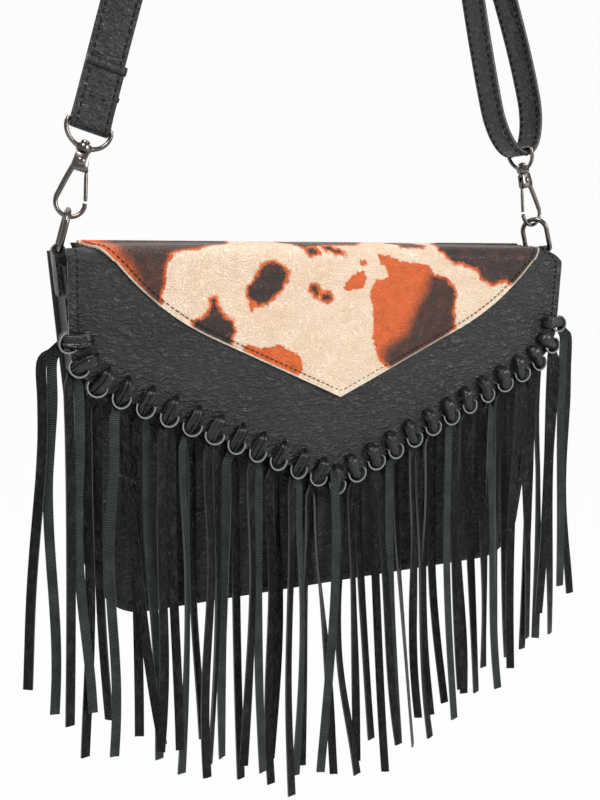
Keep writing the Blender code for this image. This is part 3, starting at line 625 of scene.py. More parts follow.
# The cow-hide patches, drawn on the flap laid flat, in millimetres: across from the middle, and down
# from the fold
patches = dict(
    dark=[
        [(-47, 3), (-42, 1), (-36, 3), (-33, 7), (-37, 15), (-45, 21), (-49, 22), (-53, 19), (-55, 18),
         (-54, 13), (-51, 10)],
        [(-74, 18), (-72, 19), (-71, 23), (-67, 28), (-63, 30), (-62, 36), (-63, 39), (-62, 52),
         (-71, 46), (-80, 42), (-84, 34), (-83, 30), (-79, 29), (-76, 27), (-74, 23)],
        [(-21, -7), (-16, -7), (-16, -4), (-20, -3), (-22, -4)],
        [(-11, -9), (-7, -8), (-7, -6), (-11, -6)],
        [(-8, -6), (-3, -6), (-1, -4), (-6, -4)],
        [(-30, -30), (22, -31), (8, -11), (-5, -11), (-15, -10), (-23, -8), (-27, -11)],
        [(36, -30), (54, -30), (51, -12), (49, -9), (36, -9)],
        [(-19, 13), (-16, 13), (-15, 17), (-17, 18), (-20, 15)],
        [(-13, 17), (-9, 17), (-8, 20), (-10, 21), (-13, 20)],
        [(62, -17), (68, -30), (95, -48), (140, -50), (140, 18), (112, 15), (103, 11), (94, 13),
         (87, 10), (84, 5), (78, 3), (72, 1), (67, 1), (63, -3), (59, -7)],
    ],
    rust=[
        [(-140, -30), (-120, -40), (-79, -44), (-52, -42), (-58, -24), (-64, -13), (-75, -9), (-81, -6),
         (-88, -6), (-93, -4), (-94, -1), (-96, 1), (-97, 5), (-97, 9), (-98, 13), (-99, 22),
         (-107, 22), (-118, 14), (-130, 4)],
        [(-54, 19), (-50, 22), (-52, 26), (-54, 23)],
        [(-57, 43), (-53, 42), (-48, 44), (-43, 44), (-38, 43), (-35, 43), (-32, 46), (-28, 47),
         (-26, 49), (-22, 53), (-24, 58), (-28, 66), (-40, 62), (-52, 56), (-56, 48)],
        [(8, 0), (12, 0), (13, 2), (10, 3), (8, 2)],
        [(11, 5), (13, 9), (11, 14), (7, 15), (2, 16), (-1, 15), (0, 12), (4, 8), (7, 6)],
        [(19, -4), (28, -2), (35, 1), (43, 1), (52, 3), (54, 7), (63, 9), (69, 14), (71, 19), (70, 27),
         (72, 37), (60, 50), (44, 56), (30, 60), (23, 54), (20, 48), (18, 41), (18, 33), (17, 24),
         (15, 19), (16, 15), (18, 10), (26, 9), (25, 5), (20, 1)],
    ],
    soft=[
        [(-119, -6), (-119, -40), (-50, -50), (-52, -24), (-64, -13), (-75, -8), (-86, -5), (-93, -3),
         (-95, 2), (-97, 9), (-97, 24), (-107, 22), (-111, 10), (-115, 1)],
        [(53, 5), (64, 6), (74, 12), (76, 28), (77, 39), (60, 54), (42, 60), (22, 64), (26, 47),
         (39, 39), (44, 27), (50, 16)],
    ],
)


def depthIn(point, outline):
    # How far inside a closed outline a point is, negative outside
    nearest = 1e9
    inside = False
    for (ax, ay), (bx, by) in zip(outline, outline[1:] + outline[:1]):
        dx, dy = bx - ax, by - ay
        share = max(0.0, min(1.0, ((point[0] - ax) * dx + (point[1] - ay) * dy) / (dx * dx + dy * dy)))
        nearest = min(nearest, hypot(point[0] - ax - share * dx, point[1] - ay - share * dy))
        if (ay > point[1]) != (by > point[1]) and point[0] < (bx - ax) * (point[1] - ay) / (by - ay) + ax:
            inside = not inside
    return nearest if inside else -nearest


printed = flapGrid("cowHidePrint", 0.0, 118, printFoot, printHalf, 190, 0.0011, ["print", "print", "lining"])
flatPlaces = [v.vector.copy() for v in printed.data.attributes["flat"].data]
for stored, group in (("darkPatch", "dark"), ("rustPatch", "rust"), ("softDark", "soft")):
    values = []
    for place in flatPlaces:
        point = (place.x * 1000, place.y * 1000)
        values.append(max(depthIn(point, outline) for outline in patches[group]))
    layer = printed.data.attributes.new(stored, "FLOAT", "POINT")
    layer.data.foreach_set("value", values)


def seamSpot(x, s, lift=0.0):
    place, out = sheetPoint(x, s, lift)
    return onBag(place), bagTurn @ out


seamRun = []
for k in range(flap["seamSteps"] + 1):
    u = -1 + 2 * k / flap["seamSteps"]
    ahead = printFoot(min(u + 0.01, 1)) - printFoot(max(u - 0.01, -1))
    side = Vector((-ahead.y, ahead.x)).normalized()
    foot = printFoot(u) + side * flap["seam"]
    if abs(u) < 0.03:
        tipZ = -flap["printTip"] + flap["seam"] / cos(flap["slope"])
        foot = Vector((foot.x, tipZ + abs(foot.x) * flap["tipRise"]))
    seamRun.append(seamSpot(foot.x, -flap["radius"] - foot.y))
overSeam = []
for side in (-1, 1):
    seamX = side * (flap["printHalf"] - flap["seam"])
    overSeam.append([seamSpot(seamX, -0.016 - 0.020 * k / 29) for k in range(30)])
printSeam = stitches("printSeam", [seamRun] + overSeam, "brownThread", pitch=0.0030, length=0.0024,
                     thick=0.00055)

sideRuns = []
for side in (-1, 1):
    run = []
    for k in range(34):
        s = -0.010 + 0.046 * k / 33
        reach = bandHalf(s, side) - flap["sideSeam"]
        run.append(seamSpot(side * reach, s, flap["bandFront"] - flap["printFront"]))
    sideRuns.append(run)
bandSeam = stitches("bandSideSeams", sideRuns, "blackThread", pitch=0.0030, length=0.0022, thick=0.0006)

for sheet in (band, printed):
    wearEdges(sheet, flap["edgeWear"])
for sheet in (band, printed, printSeam, bandSeam):
    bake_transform(sheet)
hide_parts("flap_backing", "flap_band", "flap_top")
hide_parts("print_panel")
print("flap, print and seams made")


strip = dict(
    width=0.0047, thick=0.0011, tail=0.177, ragged=0.009, shortShare=0.95, settle=0.010, endPush=0.0075,
    spread=0.0026, layerStep=0.0020, clearance=0.00035, bightReach=0.0042, rightShort=0.006, knotHalf=0.0033,
    # Each knot's own chances: how far its front stands out, its lean, and its bight's width and drop
    proud=(0.0026, 0.0036), lean=0.0009, bightWidth=(0.0045, 0.0052), bightDrop=(0.0044, 0.0051),
    bightEdge=0.00045, bightDeep=0.0040, bightBulge=0.0009, bightSteps=24,
    # The front of a knot: widths along it, and its cross-section as (share of the half width, height)
    petalWidths=((0, 0.25), (0.10, 0.5), (0.34, 1.0), (0.62, 0.95), (0.82, 0.78), (1, 0.6)),
    loopWidths=((0, 0.8), (0.12, 0.95), (0.30, 1.05), (0.6, 0.92), (1, 0.62)),
    petalFace=((-1, -0.0002), (-0.72, 0.0005), (-0.35, 0.0008), (-0.1, 0.0017), (0.08, 0.0016),
               (0.25, 0.0007), (0.62, 0.0009), (0.85, 0.0004), (1, -0.0002)),
    loopFace=((-1, -0.0003), (-0.8, 0.0005), (-0.45, 0.0011), (-0.1, 0.0013), (0.2, 0.0011),
              (0.45, 0.0013), (0.8, 0.0006), (1, -0.0003)),
    # How far right each strip's two tails swing by their ends, in millimetres
    sways=[
        (-12, -5), (-5, 2), (-6, 3), (-4, 16), (-3, 3), (-7, 0), (-4, 4), (-1, -6), (-3, 3),
        (-3, 3), (2, -4), (1, -3), (-4, 12), (-9, 13), (5, 11), (11, 15), (9, 15), (8, 14),
        (8, 13), (9, 11), (6, 10), (5, 12), (5, 12), (2, 8), (-1, 5), (-4, 3), (4, 10),
    ],
    # Which tails hang with their woven back to the front, one pair for each strip
    turned=[
        (0, 1), (0, 1), (0, 0), (1, 0), (0, 1), (0, 0), (1, 0), (0, 0), (1, 0),
        (0, 1), (0, 0), (0, 1), (0, 0), (1, 0), (0, 0), (0, 0), (1, 0), (0, 0),
        (0, 0), (1, 0), (0, 0), (0, 1), (0, 0), (0, 0), (0, 1), (0, 0), (1, 0),
    ],
)
chance = random.Random(4)
down3 = Vector((0, 0, -1))


def between(share, stops):
    # A smooth value from (share, value) stops
    for (a, low), (b, high) in zip(stops, stops[1:]):
        if share <= b:
            return low + (high - low) * eased((share - a) / (b - a))
    return stops[-1][1]


def stripOutline(half, thick, curl=0.0, steps=6):
    # The cross-section of a strip: leather face, cut edge, woven back, cut edge
    face = [(half * (-1 + 2 * k / steps), thick / 2 + curl * (1 - (-1 + 2 * k / steps) ** 2))
            for k in range(steps + 1)]
    back = [(a, b - thick) for a, b in reversed(face)]
    indices = [0] * steps + [1] + [2] * steps + [1]
    return face + back, indices


def tailLine(start, layerY, settledX, sway, length, wander):
    points = [start]
    middle = Vector(((start.x + settledX) / 2, (start.y + layerY) / 2, start.z - strip["settle"] * 0.5))
    points.append(middle)
    steps = 9
    for k in range(steps + 1):
        share = k / steps
        drop = strip["settle"] + (length - strip["settle"]) * share
        curve = wander[0] * sin(pi * share * wander[1] + wander[2]) - wander[0] * sin(wander[2])
        points.append(Vector((settledX + sway * share ** 1.6 + curve * eased(share * 3),
                              layerY + wander[3] * sin(pi * share * 1.3) * eased(share * 2), start.z - drop)))
    return smoothLine(points, 5)


def makeStrip(number, distance):
    edge, inward = edgePoint(distance)
    slot = edge + inward * knots["inset"]
    outward = bagTurn @ Vector((-inward.x, 0, -inward.y))
    frontward = bagTurn @ Vector((0, -1, 0))
    across = outward.cross(frontward)
    slotPlace = onBag((slot.x, 0, slot.y))
    first = number == 1
    bandFront = flap["bandFront"]
    bandBack = flap["back"]
    shape = bmesh.new()

    def at(along, depth, sideways=0.0):
        # A place by the knot: along the strip from its slot, at a depth in the bag's own y, and sideways
        return slotPlace + outward * along + frontward * (-depth) + across * sideways

    # The strip comes out of its slot, bulges over the edge of the flap and dives into its bight
    foot = knots["inset"]
    proud = chance.uniform(*strip["proud"]) + (0.0022 if first else 0.0)
    lean = chance.uniform(-strip["lean"], strip["lean"])
    line = [at(-0.0004, bandFront + 0.0012), at(0.0001, bandFront - 0.0008),
            at(0.0016, bandFront - proud * 0.95, lean * 0.3), at(foot * 0.45, bandFront - proud, lean),
            at(foot * 0.8, bandFront - proud * 0.74, lean),
            at(foot + 0.0014, bandFront - proud * 0.48, lean * 0.6),
            at(foot + 0.0034, bandFront - proud * 0.2, 0), at(foot + 0.0048, bandFront + 0.0006, 0)]
    line = smoothLine(line, 5)
    petal = number <= knots["aSide"]
    twist = chance.uniform(-0.35, 0.35) + (0.45 if first else 0.0)
    half = strip["knotHalf"] * chance.uniform(0.9, 1.08) * (1.2 if first else 1.0)
    widths = strip["petalWidths"] if petal else strip["loopWidths"]
    stations = []
    for k, (centre, side, out, along) in enumerate(frames(line, lambda k: across)):
        share = k / (len(line) - 1)
        turn = twist * sin(pi * share)
        side2, out2 = spun(side, out, turn)
        stations.append((centre, side2 * between(share, widths), out2, along))
    ridge = chance.uniform(-0.25, 0.25)
    shapeOf = strip["petalFace"] if petal else strip["loopFace"]
    face = [(half * max(-1, min(1, a + ridge * (1 - abs(a)))), strip["thick"] / 2 + b) for a, b in shapeOf]
    outline = face + [(a, b - strip["thick"]) for a, b in reversed(face)]
    side = len(face) - 1
    sweep(shape, stations, outline, [3] * side + [1] + [2] * side + [1], capIndex=1)

    # Its other half goes down behind the flap
    line = [at(-0.0003, bandFront + 0.0004), at(0.0000, bandBack + 0.0007), at(0.0030, bandBack + 0.0014),
            at(foot * 0.8, bandBack + 0.0014), at(foot + 0.0020, bandBack + 0.0004),
            at(foot + 0.0044, bandFront + 0.0012)]
    line = smoothLine(line, 3)
    outline, indices = stripOutline(0.0022, strip["thick"] * 0.9)
    sweep(shape, frames(line, lambda k: across), outline, indices, capIndex=1)

    # The bight: the fold of the strip that hangs round the tails, with its cut edge to the front
    hang = (outward * 0.55 + bagTurn @ down3 * 0.45).normalized()
    hangSide = hang.cross(frontward).normalized()
    middle = at(foot - 0.0002, 0.0)
    width = chance.uniform(*strip["bightWidth"])
    drop = chance.uniform(*strip["bightDrop"]) + (0.0010 if first else 0.0)
    arch = []
    last = strip["bightSteps"]
    for k in range(last + 1):
        angle = pi * (-0.08 + 1.16 * k / last)
        arch.append((-cos(angle) * width, sin(angle) * drop))
    edgeHalf, deep = strip["bightEdge"], strip["bightDeep"]
    rings = []
    frontDepth = bandFront - 0.0026
    for k, (a, b) in enumerate(arch):
        ahead = Vector(arch[min(k + 1, last)]) - Vector(arch[max(k - 1, 0)])
        normal = Vector((ahead.y, -ahead.x)).normalized()
        bulge = strip["bightBulge"] * sin(pi * k / last)
        ring = []
        for n, d in ((-1, 0.0003), (-0.6, 0), (0.6, 0), (1, 0.0003), (1, deep), (-1, deep)):
            x, z = a + normal.x * n * edgeHalf, b + normal.y * n * edgeHalf
            depthHere = frontDepth - bulge + d
            ring.append(shape.verts.new(middle + hangSide * x + hang * z + frontward * (-depthHere)))
        rings.append(ring)
    for one, two in zip(rings, rings[1:]):
        for j in range(6):
            face = shape.faces.new((one[j], one[(j + 1) % 6], two[(j + 1) % 6], two[j]))
            face.material_index = 4 if j in (0, 1, 2) else (2 if j == 3 else 3)
    for ring in (rings[0], rings[-1]):
        shape.faces.new(ring).material_index = 4

    # Two tails
    bightAt = foot + strip["clearance"] + strip["bightReach"] / 2 + bag["gap"]
    start = onBag((slot.x, (bandFront + bandBack) / 2, slot.y)) + outward * bightAt
    fromTip = abs(number - knots["aSide"] - 1)
    push = strip["endPush"] * (1 if start.x > 0 else -1) if fromTip == knots["aSide"] else 0
    for which in (0, 1):
        layer = start.y + (2 * (number % 2) + which - 1.5) * strip["layerStep"]
        settledX = start.x + push + strip["spread"] * (2 * which - 1)
        tailShare = strip["shortShare"] if fromTip < 2 else 1
        length = strip["tail"] * tailShare + strip["ragged"] * sin(2.4 * (2 * number + which))
        length -= strip["rightShort"] * max(0, number - knots["aSide"] - 1) / knots["aSide"]
        wander = (chance.uniform(-0.0022, 0.0022), chance.uniform(1.0, 2.2), chance.uniform(0, 3),
                  chance.uniform(-0.0008, 0.0008))
        line = tailLine(start, layer, settledX, strip["sways"][number - 1][which] / 1000, length, wander)
        if fromTip == 0 and which == 0:
            # The strip at the tip leaves its slot to the front and hangs over the flap
            beside = Vector((-0.0030, 0, 0))
            over = [at(0, bandFront + 0.001) + beside, at(0.0004, bandFront - 0.0016) + beside,
                    at(foot * 0.5, bandFront - 0.0042) + beside,
                    at(foot + 0.005, bandFront - 0.0052) + beside]
            hung = [p + Vector((-0.0006, -0.0062, 0)) for p in line[14:]]
            line = smoothLine(over, 4)[:-1] + hung
        flip = 1 if strip["turned"][number - 1][which] else -1
        roll = chance.uniform(-0.85, 0.85), chance.uniform(0.5, 1.8), chance.uniform(-0.3, 0.3)
        stations = []
        count = len(line) - 1
        for k, (centre, side, out, along) in enumerate(frames(line, lambda k: Vector((1, 0, 0)))):
            share = k / count
            turn = roll[2] + roll[0] * sin(pi * roll[1] * share)
            side2, out2 = spun(side, out, turn)
            size = 0.8 + 0.2 * eased(share * 6)
            stations.append((centre, side2 * size, out2 * flip, along))
        outline, indices = stripOutline(strip["width"] / 2, strip["thick"],
                                        curl=0.00022 * chance.uniform(-1, 1.6), steps=4)
        sweep(shape, stations, outline, indices, capIndex=1, flatFrom=number * 0.7 + which * 0.3)
    piece = meshPiece(f"fringeStrip{number:02d}", shape,
                      ["stripLeather", "rawEdge", "backing", "knotLeather", "bightEdge"], smooth=45)
    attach(piece, "flap")
    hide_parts(f"fringe_{number:02d}")


knotPitch = (edgeLength - 0.0016) / knots["aSide"]
for number in range(1, 2 * knots["aSide"] + 2):
    makeStrip(number, (number - knots["aSide"] - 1) * knotPitch)
print("fringe strips tied:", 2 * knots["aSide"] + 1)


body = dict(crown={True: 0.0007, False: 0.0002}, edgeDip=0.0005, edgeWear=0.0004, seam=0.0045,
            crownEdge=0.045,
            rows=46, columns=60, pinch=0.0016, gussetSteps=12, gussetShare=0.85)


def bodyOutline(inset, topDrop, steps=10):
    # The right half of the body's outline, from its top corner round to the foot
    slope = atan2(bag["halfWidth"] - bag["footHalfWidth"], bag["height"])
    foot = -bag["height"] + inset

    def sideX(z):
        taper = bag["halfWidth"] - bag["footHalfWidth"]
        return bag["halfWidth"] + z * taper / bag["height"] - inset / cos(slope)

    radius = bag["corner"] - inset
    centreZ = foot + radius
    centreX = sideX(centreZ) - radius / cos(slope)
    corner = arc((centreX, centreZ), radius, -slope, -pi / 2, steps)
    side = [Vector((sideX(-topDrop + (corner[0].y + topDrop) * k / 8),
                    -topDrop + (corner[0].y + topDrop) * k / 8)) for k in range(8)]
    return side + corner


def widthAt(z, inset=0.0):
    # Half the body's width at a height
    line = bodyOutline(inset, 0.0, 16)
    if z >= line[0].y:
        return line[0].x
    for a, b in zip(line, line[1:]):
        if b.y <= z <= a.y and a.y > b.y:
            return a.x + (b.x - a.x) * (a.y - z) / (a.y - b.y)
    return line[-1].x


def panel(name, node, front, topDrop):
    # A softly crowned leather panel with a turned edge
    shape = bmesh.new()
    flat = shape.verts.layers.float_vector.new("flat")
    way = -1 if front else 1
    face = way * bag["depth"] / 2
    rings = []
    columns = body["columns"]
    for j in range(body["rows"] + 1):
        share = j / body["rows"]
        z = -topDrop + (-bag["height"] + 0.0002 + topDrop) * (1 - (1 - share) ** 1.35)
        half = widthAt(z)
        line = []
        for k in range(columns + 1):
            u = -1 + 2 * k / columns
            x = half * sin(u * pi / 2)
            nearEdge = min(half - abs(x), z + bag["height"])
            dip = body["edgeDip"] * (1 - eased(nearEdge / 0.004))
            puff = body["crown"][front] * eased(nearEdge / body["crownEdge"]) - dip
            ripple = noise.noise(Vector((x * 16, z * 16, face * 90))) * 0.0010 * eased(nearEdge / 0.02)
            y = face + way * (puff + ripple * 0.3)
            vert = shape.verts.new(bagFrame @ Vector((x, y, z)))
            vert[flat] = (x, z, 0)
            line.append(vert)
        rings.append(line)
    for a, b in zip(rings, rings[1:]):
        for k in range(columns):
            corners = (a[k], b[k], b[k + 1], a[k + 1])
            shape.faces.new(corners if front else corners[::-1])
    piece = meshPiece(name, shape, ["flapLeather", "edge", "lining"], smooth=50, closed=False)
    thicken(piece, bag["panel"] - 0.0003)
    wearEdges(piece, body["edgeWear"])
    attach(piece, "bag")
    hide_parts(node)
    return piece


def sideLine(inset, topDrop):
    right = bodyOutline(inset, topDrop)
    return [Vector((-p.x, p.y)) for p in right] + [p for p in reversed(right)]


def makeGusset():
    # The strip between the panels, pinched in along its middle, with its edges sewn to them
    inset = bag["gussetInset"] + bag["gusset"] / 2
    line = sideLine(inset, bag["gussetTopDrop"])
    shape = bmesh.new()
    flat = shape.verts.layers.float_vector.new("flat")
    half = bag["depth"] / 2 - bag["panel"] - bag["gap"]
    rows = []
    distance = 0.0
    for k, point in enumerate(line):
        ahead = line[min(k + 1, len(line) - 1)] - line[max(k - 1, 0)]
        if k:
            distance += (point - line[k - 1]).length
        out = Vector((ahead.y, -ahead.x)).normalized()
        if out.dot(point - Vector((0, -0.09))) < 0:
            out = -out
        row = []
        for j in range(body["gussetSteps"] + 1):
            v = -1 + 2 * j / body["gussetSteps"]
            dip = body["pinch"] * (1 - v * v) * (0.4 + 0.6 * abs(sin(distance * 22)))
            place = point - out * dip
            vert = shape.verts.new(bagFrame @ Vector((place.x, v * half, place.y)))
            vert[flat] = (v * half, distance, 0)
            row.append(vert)
        rows.append(row)
    for a, b in zip(rows, rows[1:]):
        for j in range(body["gussetSteps"]):
            shape.faces.new((a[j], a[j + 1], b[j + 1], b[j]))
    piece = meshPiece("gussetLeather", shape, ["strapLeather", "edge", "lining"], smooth=50)
    wall = piece.modifiers.new("Thickness", "SOLIDIFY")
    wall.thickness = bag["gusset"] * body["gussetShare"]
    wall.offset = 0
    applied(piece)
    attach(piece, "bag")
    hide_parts("gusset")


panel("frontPanel", "front_panel", True, bag["mouthDrop"])
panel("backPanel", "back_panel", False, bag["backTopDrop"])
makeGusset()


def panelSeam(front, topDrop):
    way = -1 if front else 1
    y = way * (bag["depth"] / 2 + body["crown"][front] * eased(body["seam"] / body["crownEdge"]))
    return [(onBag((point.x, y, point.y)), bagTurn @ Vector((0, way, 0)))
            for point in sideLine(body["seam"], topDrop + 0.002)]


bodySeams = stitches("bodySeams", [panelSeam(True, bag["mouthDrop"]), panelSeam(False, bag["backTopDrop"])],
                     "blackThread", pitch=0.0034, length=0.0026)
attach(bodySeams, "bag")
for node, finish in (("lining", "lining"), ("snap_socket", "steel"), ("snap_stud", "steel")):
    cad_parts[node].data.materials.clear()
    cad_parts[node].data.materials.append(finishes[finish])
print("body made")


fitting = dict(
    ringWire=0.0028, ringWidth=0.0140, ringHeight=0.0200, barDrop=0.005, ringInset=0.0029,
    ringTurn={"left": radians(84), "right": radians(-50)},
    hookWire=0.0022, hookLength=0.0310, hookTurn={"left": radians(-8), "right": radians(8)},
    headWidth=0.0066, headFootWidth=0.0080, headHeight=0.0086, headThick=0.0042, hookRadius=0.0069,
    gateTop=0.0036, gateFoot=0.0067, gateWidth=0.0019, gatePlate=0.0014, noseDrop=0.0228, noseGap=0.0011,
    pinDrop=0.0042, pinRadius=0.0009, rivetRadius=0.0019, rivetHeight=0.0008,
    postRadius=0.0014, postHead=0.0022, postHeadHeight=0.0016,
    eyeWire=0.0022, eyeWidth=0.0218, eyeHeight=0.0118, eyeTurn={"left": 0.0, "right": radians(90)},
    bossRadius=0.0037, bossHeight=0.0040, tabWidth=0.0105, tabThick=0.0015, tabTongue=0.020,
)
strap = dict(
    width=0.0190, thick=0.0026, foldBack=0.029, loopHalf=0.0135, hangRadius=0.020,
    slider=0.225, sliderHalf=0.014, sliderWire=0.0022,
)
anchorX = bag["halfWidth"] - fitting["ringInset"]
bendRadius = strap["hangRadius"] + strap["thick"] / 2
toBend = Vector((anchorX, bag["strapDrop"] - strap["hangRadius"] + fitting["barDrop"]))
strapLean = atan2(toBend.x, toBend.y) - asin(bendRadius / toBend.length)
strapStraight = sqrt(toBend.length ** 2 - bendRadius ** 2)
hookFoot = fitting["ringHeight"] - fitting["ringWire"] / 2 - fitting["hookWire"] / 2 - 2 * bag["gap"]
headTop = hookFoot + fitting["hookLength"]
bossAt = headTop + bag["gap"] + fitting["bossHeight"] / 2
eyeBar = bossAt + fitting["eyeHeight"]


def onLine(side, distance, turn=0.0):
    # A clasp's own frame: z up the strap, turned about it
    sign = -1 if side == "left" else 1
    anchor = bagFrame @ Vector((sign * anchorX, 0, -fitting["barDrop"]))
    line = Matrix.Translation(anchor) @ Matrix.Rotation(-sign * strapLean, 4, "Y")
    return line @ Matrix.Translation((0, 0, distance)) @ Matrix.Rotation(turn, 4, "Z")


def rod(shape, points, radii, place, closed=False, sides=14):
    # A round bar through points in a frame, with its own radius at each
    count = len(points)
    rings = []
    side = Vector((0, 1, 0))
    for k, point in enumerate(points):
        before = points[(k - 1) % count] if closed or k else point
        after = points[(k + 1) % count] if closed or k < count - 1 else point
        along = (after - before).normalized()
        side = (side - along * side.dot(along)).normalized()
        up = side.cross(along)
        radius = radii[k] if isinstance(radii, (list, tuple)) else radii
        spokes = [side * cos(2 * pi * j / sides) + up * sin(2 * pi * j / sides) for j in range(sides)]
        rings.append([shape.verts.new(place @ (point + spoke * radius)) for spoke in spokes])
    skin(shape, rings, closed)


def flat3(points):
    return [Vector((x, 0, z)) for x, z in points]


def turned(shape, profile, place, sides=28):
    # A turned shape: (radius, height) pairs about the frame's z
    rings = [[shape.verts.new(place @ Vector((r * cos(2 * pi * j / sides), r * sin(2 * pi * j / sides), h)))
              for j in range(sides)]
             for r, h in profile]
    skin(shape, rings)


def slab(shape, outline, low, high, place, soften=0.0):
    # A plate from an outline in the frame's x and z, between two depths in y, with eased corners
    def ring(depth, shrink):
        middle = sum((Vector(p) for p in outline), Vector((0, 0))) / len(outline)
        spots = []
        for p in outline:
            away = Vector(p) - middle
            kept = Vector(p) - away.normalized() * shrink
            spots.append(shape.verts.new(place @ Vector((kept.x, depth, kept.y))))
        return spots
    rings = [ring(low, soften), ring(low + soften * 0.4, soften * 0.35), ring(low + soften, 0),
             ring(high - soften, 0), ring(high - soften * 0.4, soften * 0.35), ring(high, soften)]
    skin(shape, rings)


def metalPiece(name, shape, bodyName, *nodes, smooth=38):
    piece = meshPiece(name, shape, ["metal"], smooth)
    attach(piece, bodyName)
    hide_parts(*nodes)
    return piece


def makeRing(side):
    half = fitting["ringWidth"] / 2
    corner = fitting["ringWire"] * 0.7
    points = arc((half - corner, corner), corner, -pi / 2, 0, 4)
    points += arc((0, fitting["ringHeight"] - half), half, 0, pi, 28)
    points += arc((-half + corner, corner), corner, pi, 1.5 * pi, 4)
    shape = bmesh.new()
    rod(shape, flat3(points), fitting["ringWire"] / 2, onLine(side, 0, fitting["ringTurn"][side]),
        closed=True, sides=16)
    metalPiece(f"{side}Ring", shape, "bag", f"{side}_ring")


def makeEye(side):
    half = fitting["eyeWidth"] / 2
    wire = fitting["eyeWire"]
    points = [Vector((-half * 0.86 + half * 1.72 * k / 6, 0)) for k in range(7)]
    points.append(Vector((half * 0.97, -wire * 0.22)))
    points += [Vector((half * cos(a), -wire - (fitting["eyeHeight"] - wire) * sin(a)))
               for a in [pi * k / 26 for k in range(27)]]
    points.append(Vector((-half * 0.97, -wire * 0.22)))
    shape = bmesh.new()
    radii = []
    for p in points:
        cast = eased(1 - abs(p.x) / (half * 0.55)) * (1 if p.y < -wire * 2 else 0)
        radii.append(wire / 2 * (1 + 0.42 * cast))
    rod(shape, flat3(points), radii, onLine(side, eyeBar, fitting["eyeTurn"][side]), closed=True, sides=14)
    r, h = fitting["bossRadius"], fitting["bossHeight"] / 2
    hole = fitting["postRadius"] + 0.0003
    profile = [(hole, -h), (r * 0.82, -h), (r * 0.96, -h * 0.8), (r, -h * 0.45), (r, h * 0.4),
               (r * 0.9, h * 0.85), (r * 0.75, h), (hole, h)]
    turned(shape, profile, onLine(side, bossAt))
    metalPiece(f"{side}Eye", shape, "bag", f"{side}_eye")


def makeHook(side):
    inner = 1 if side == "left" else -1
    place = onLine(side, headTop, fitting["hookTurn"][side])
    shape = bmesh.new()
    radius, wire = fitting["hookRadius"], fitting["hookWire"] / 2
    centreZ = radius - fitting["hookLength"]
    line = [Vector((-inner * (fitting["headFootWidth"] / 2 - wire * 1.05), -fitting["headHeight"] + 0.0016))]
    line.append(Vector((-inner * 0.0048, -0.0142)))
    for k in range(25):
        angle = radians(163) + (2 * pi - radians(163)) * k / 24
        line.append(Vector((inner * radius * cos(angle), centreZ + radius * sin(angle))))
    line.append(Vector((inner * fitting["gateFoot"], -fitting["noseDrop"])))
    radii = [wire * (1.22 - 0.22 * eased(k / 6)) for k in range(len(line))]
    rod(shape, flat3(line), radii, place, sides=14)
    halfTop, halfFoot, tall = fitting["headWidth"] / 2, fitting["headFootWidth"] / 2, fitting["headHeight"]
    outline = [(-halfTop * 0.78, 0), (halfTop * 0.78, 0), (halfTop, -0.0008), (halfFoot, -tall * 0.78),
               (halfFoot * 0.92, -tall * 0.93), (halfFoot * 0.70, -tall), (-halfFoot * 0.70, -tall),
               (-halfFoot * 0.92, -tall * 0.93), (-halfFoot, -tall * 0.78), (-halfTop, -0.0008)]
    cheek = fitting["headThick"] / 2
    inside = fitting["gatePlate"] / 2 + bag["gap"]
    for low, high in ((-cheek, -inside), (inside, cheek)):
        slab(shape, [(inner * x, z) for x, z in outline], low, high, place, soften=0.00045)
    spine = [(-halfTop, -0.0006), (-halfTop * 0.55, -0.0003), (-halfTop * 0.40, -tall * 0.9),
             (-halfFoot, -tall * 0.9)]
    slab(shape, [(inner * x, z) for x, z in spine], -inside, inside, place)
    top = [(-halfTop * 0.9, -0.0002), (halfTop * 0.9, -0.0002), (halfTop * 0.9, -0.0018),
           (-halfTop * 0.9, -0.0018)]
    slab(shape, [(inner * x, z) for x, z in top], -inside, inside, place)
    postTop = bag["gap"] + fitting["bossHeight"] + bag["gap"]
    cap, tallCap = fitting["postHead"], fitting["postHeadHeight"]
    post = fitting["postRadius"]
    profile = [(post * 1.25, -0.0002), (post, 0.0003), (post, postTop), (cap * 0.9, postTop),
               (cap, postTop + tallCap * 0.25), (cap * 0.92, postTop + tallCap * 0.7),
               (cap * 0.55, postTop + tallCap)]
    turned(shape, profile, place)
    pin = place @ Matrix.Translation((0, 0, -fitting["pinDrop"])) @ Matrix.Rotation(pi / 2, 4, "X")
    half = cheek + bag["gap"] / 2
    r, h = fitting["rivetRadius"], fitting["rivetHeight"]
    profile = [(r * 0.35, -half - h), (r * 0.75, -half - h * 0.85), (r * 0.97, -half - h * 0.4), (r, -half),
               (fitting["pinRadius"], -half), (fitting["pinRadius"], half), (r, half),
               (r * 0.97, half + h * 0.4), (r * 0.75, half + h * 0.85), (r * 0.35, half + h)]
    turned(shape, profile, pin, sides=24)
    metalPiece(f"{side}Hook", shape, f"{side}_hook", f"{side}_hook", f"{side}_gate_pin")


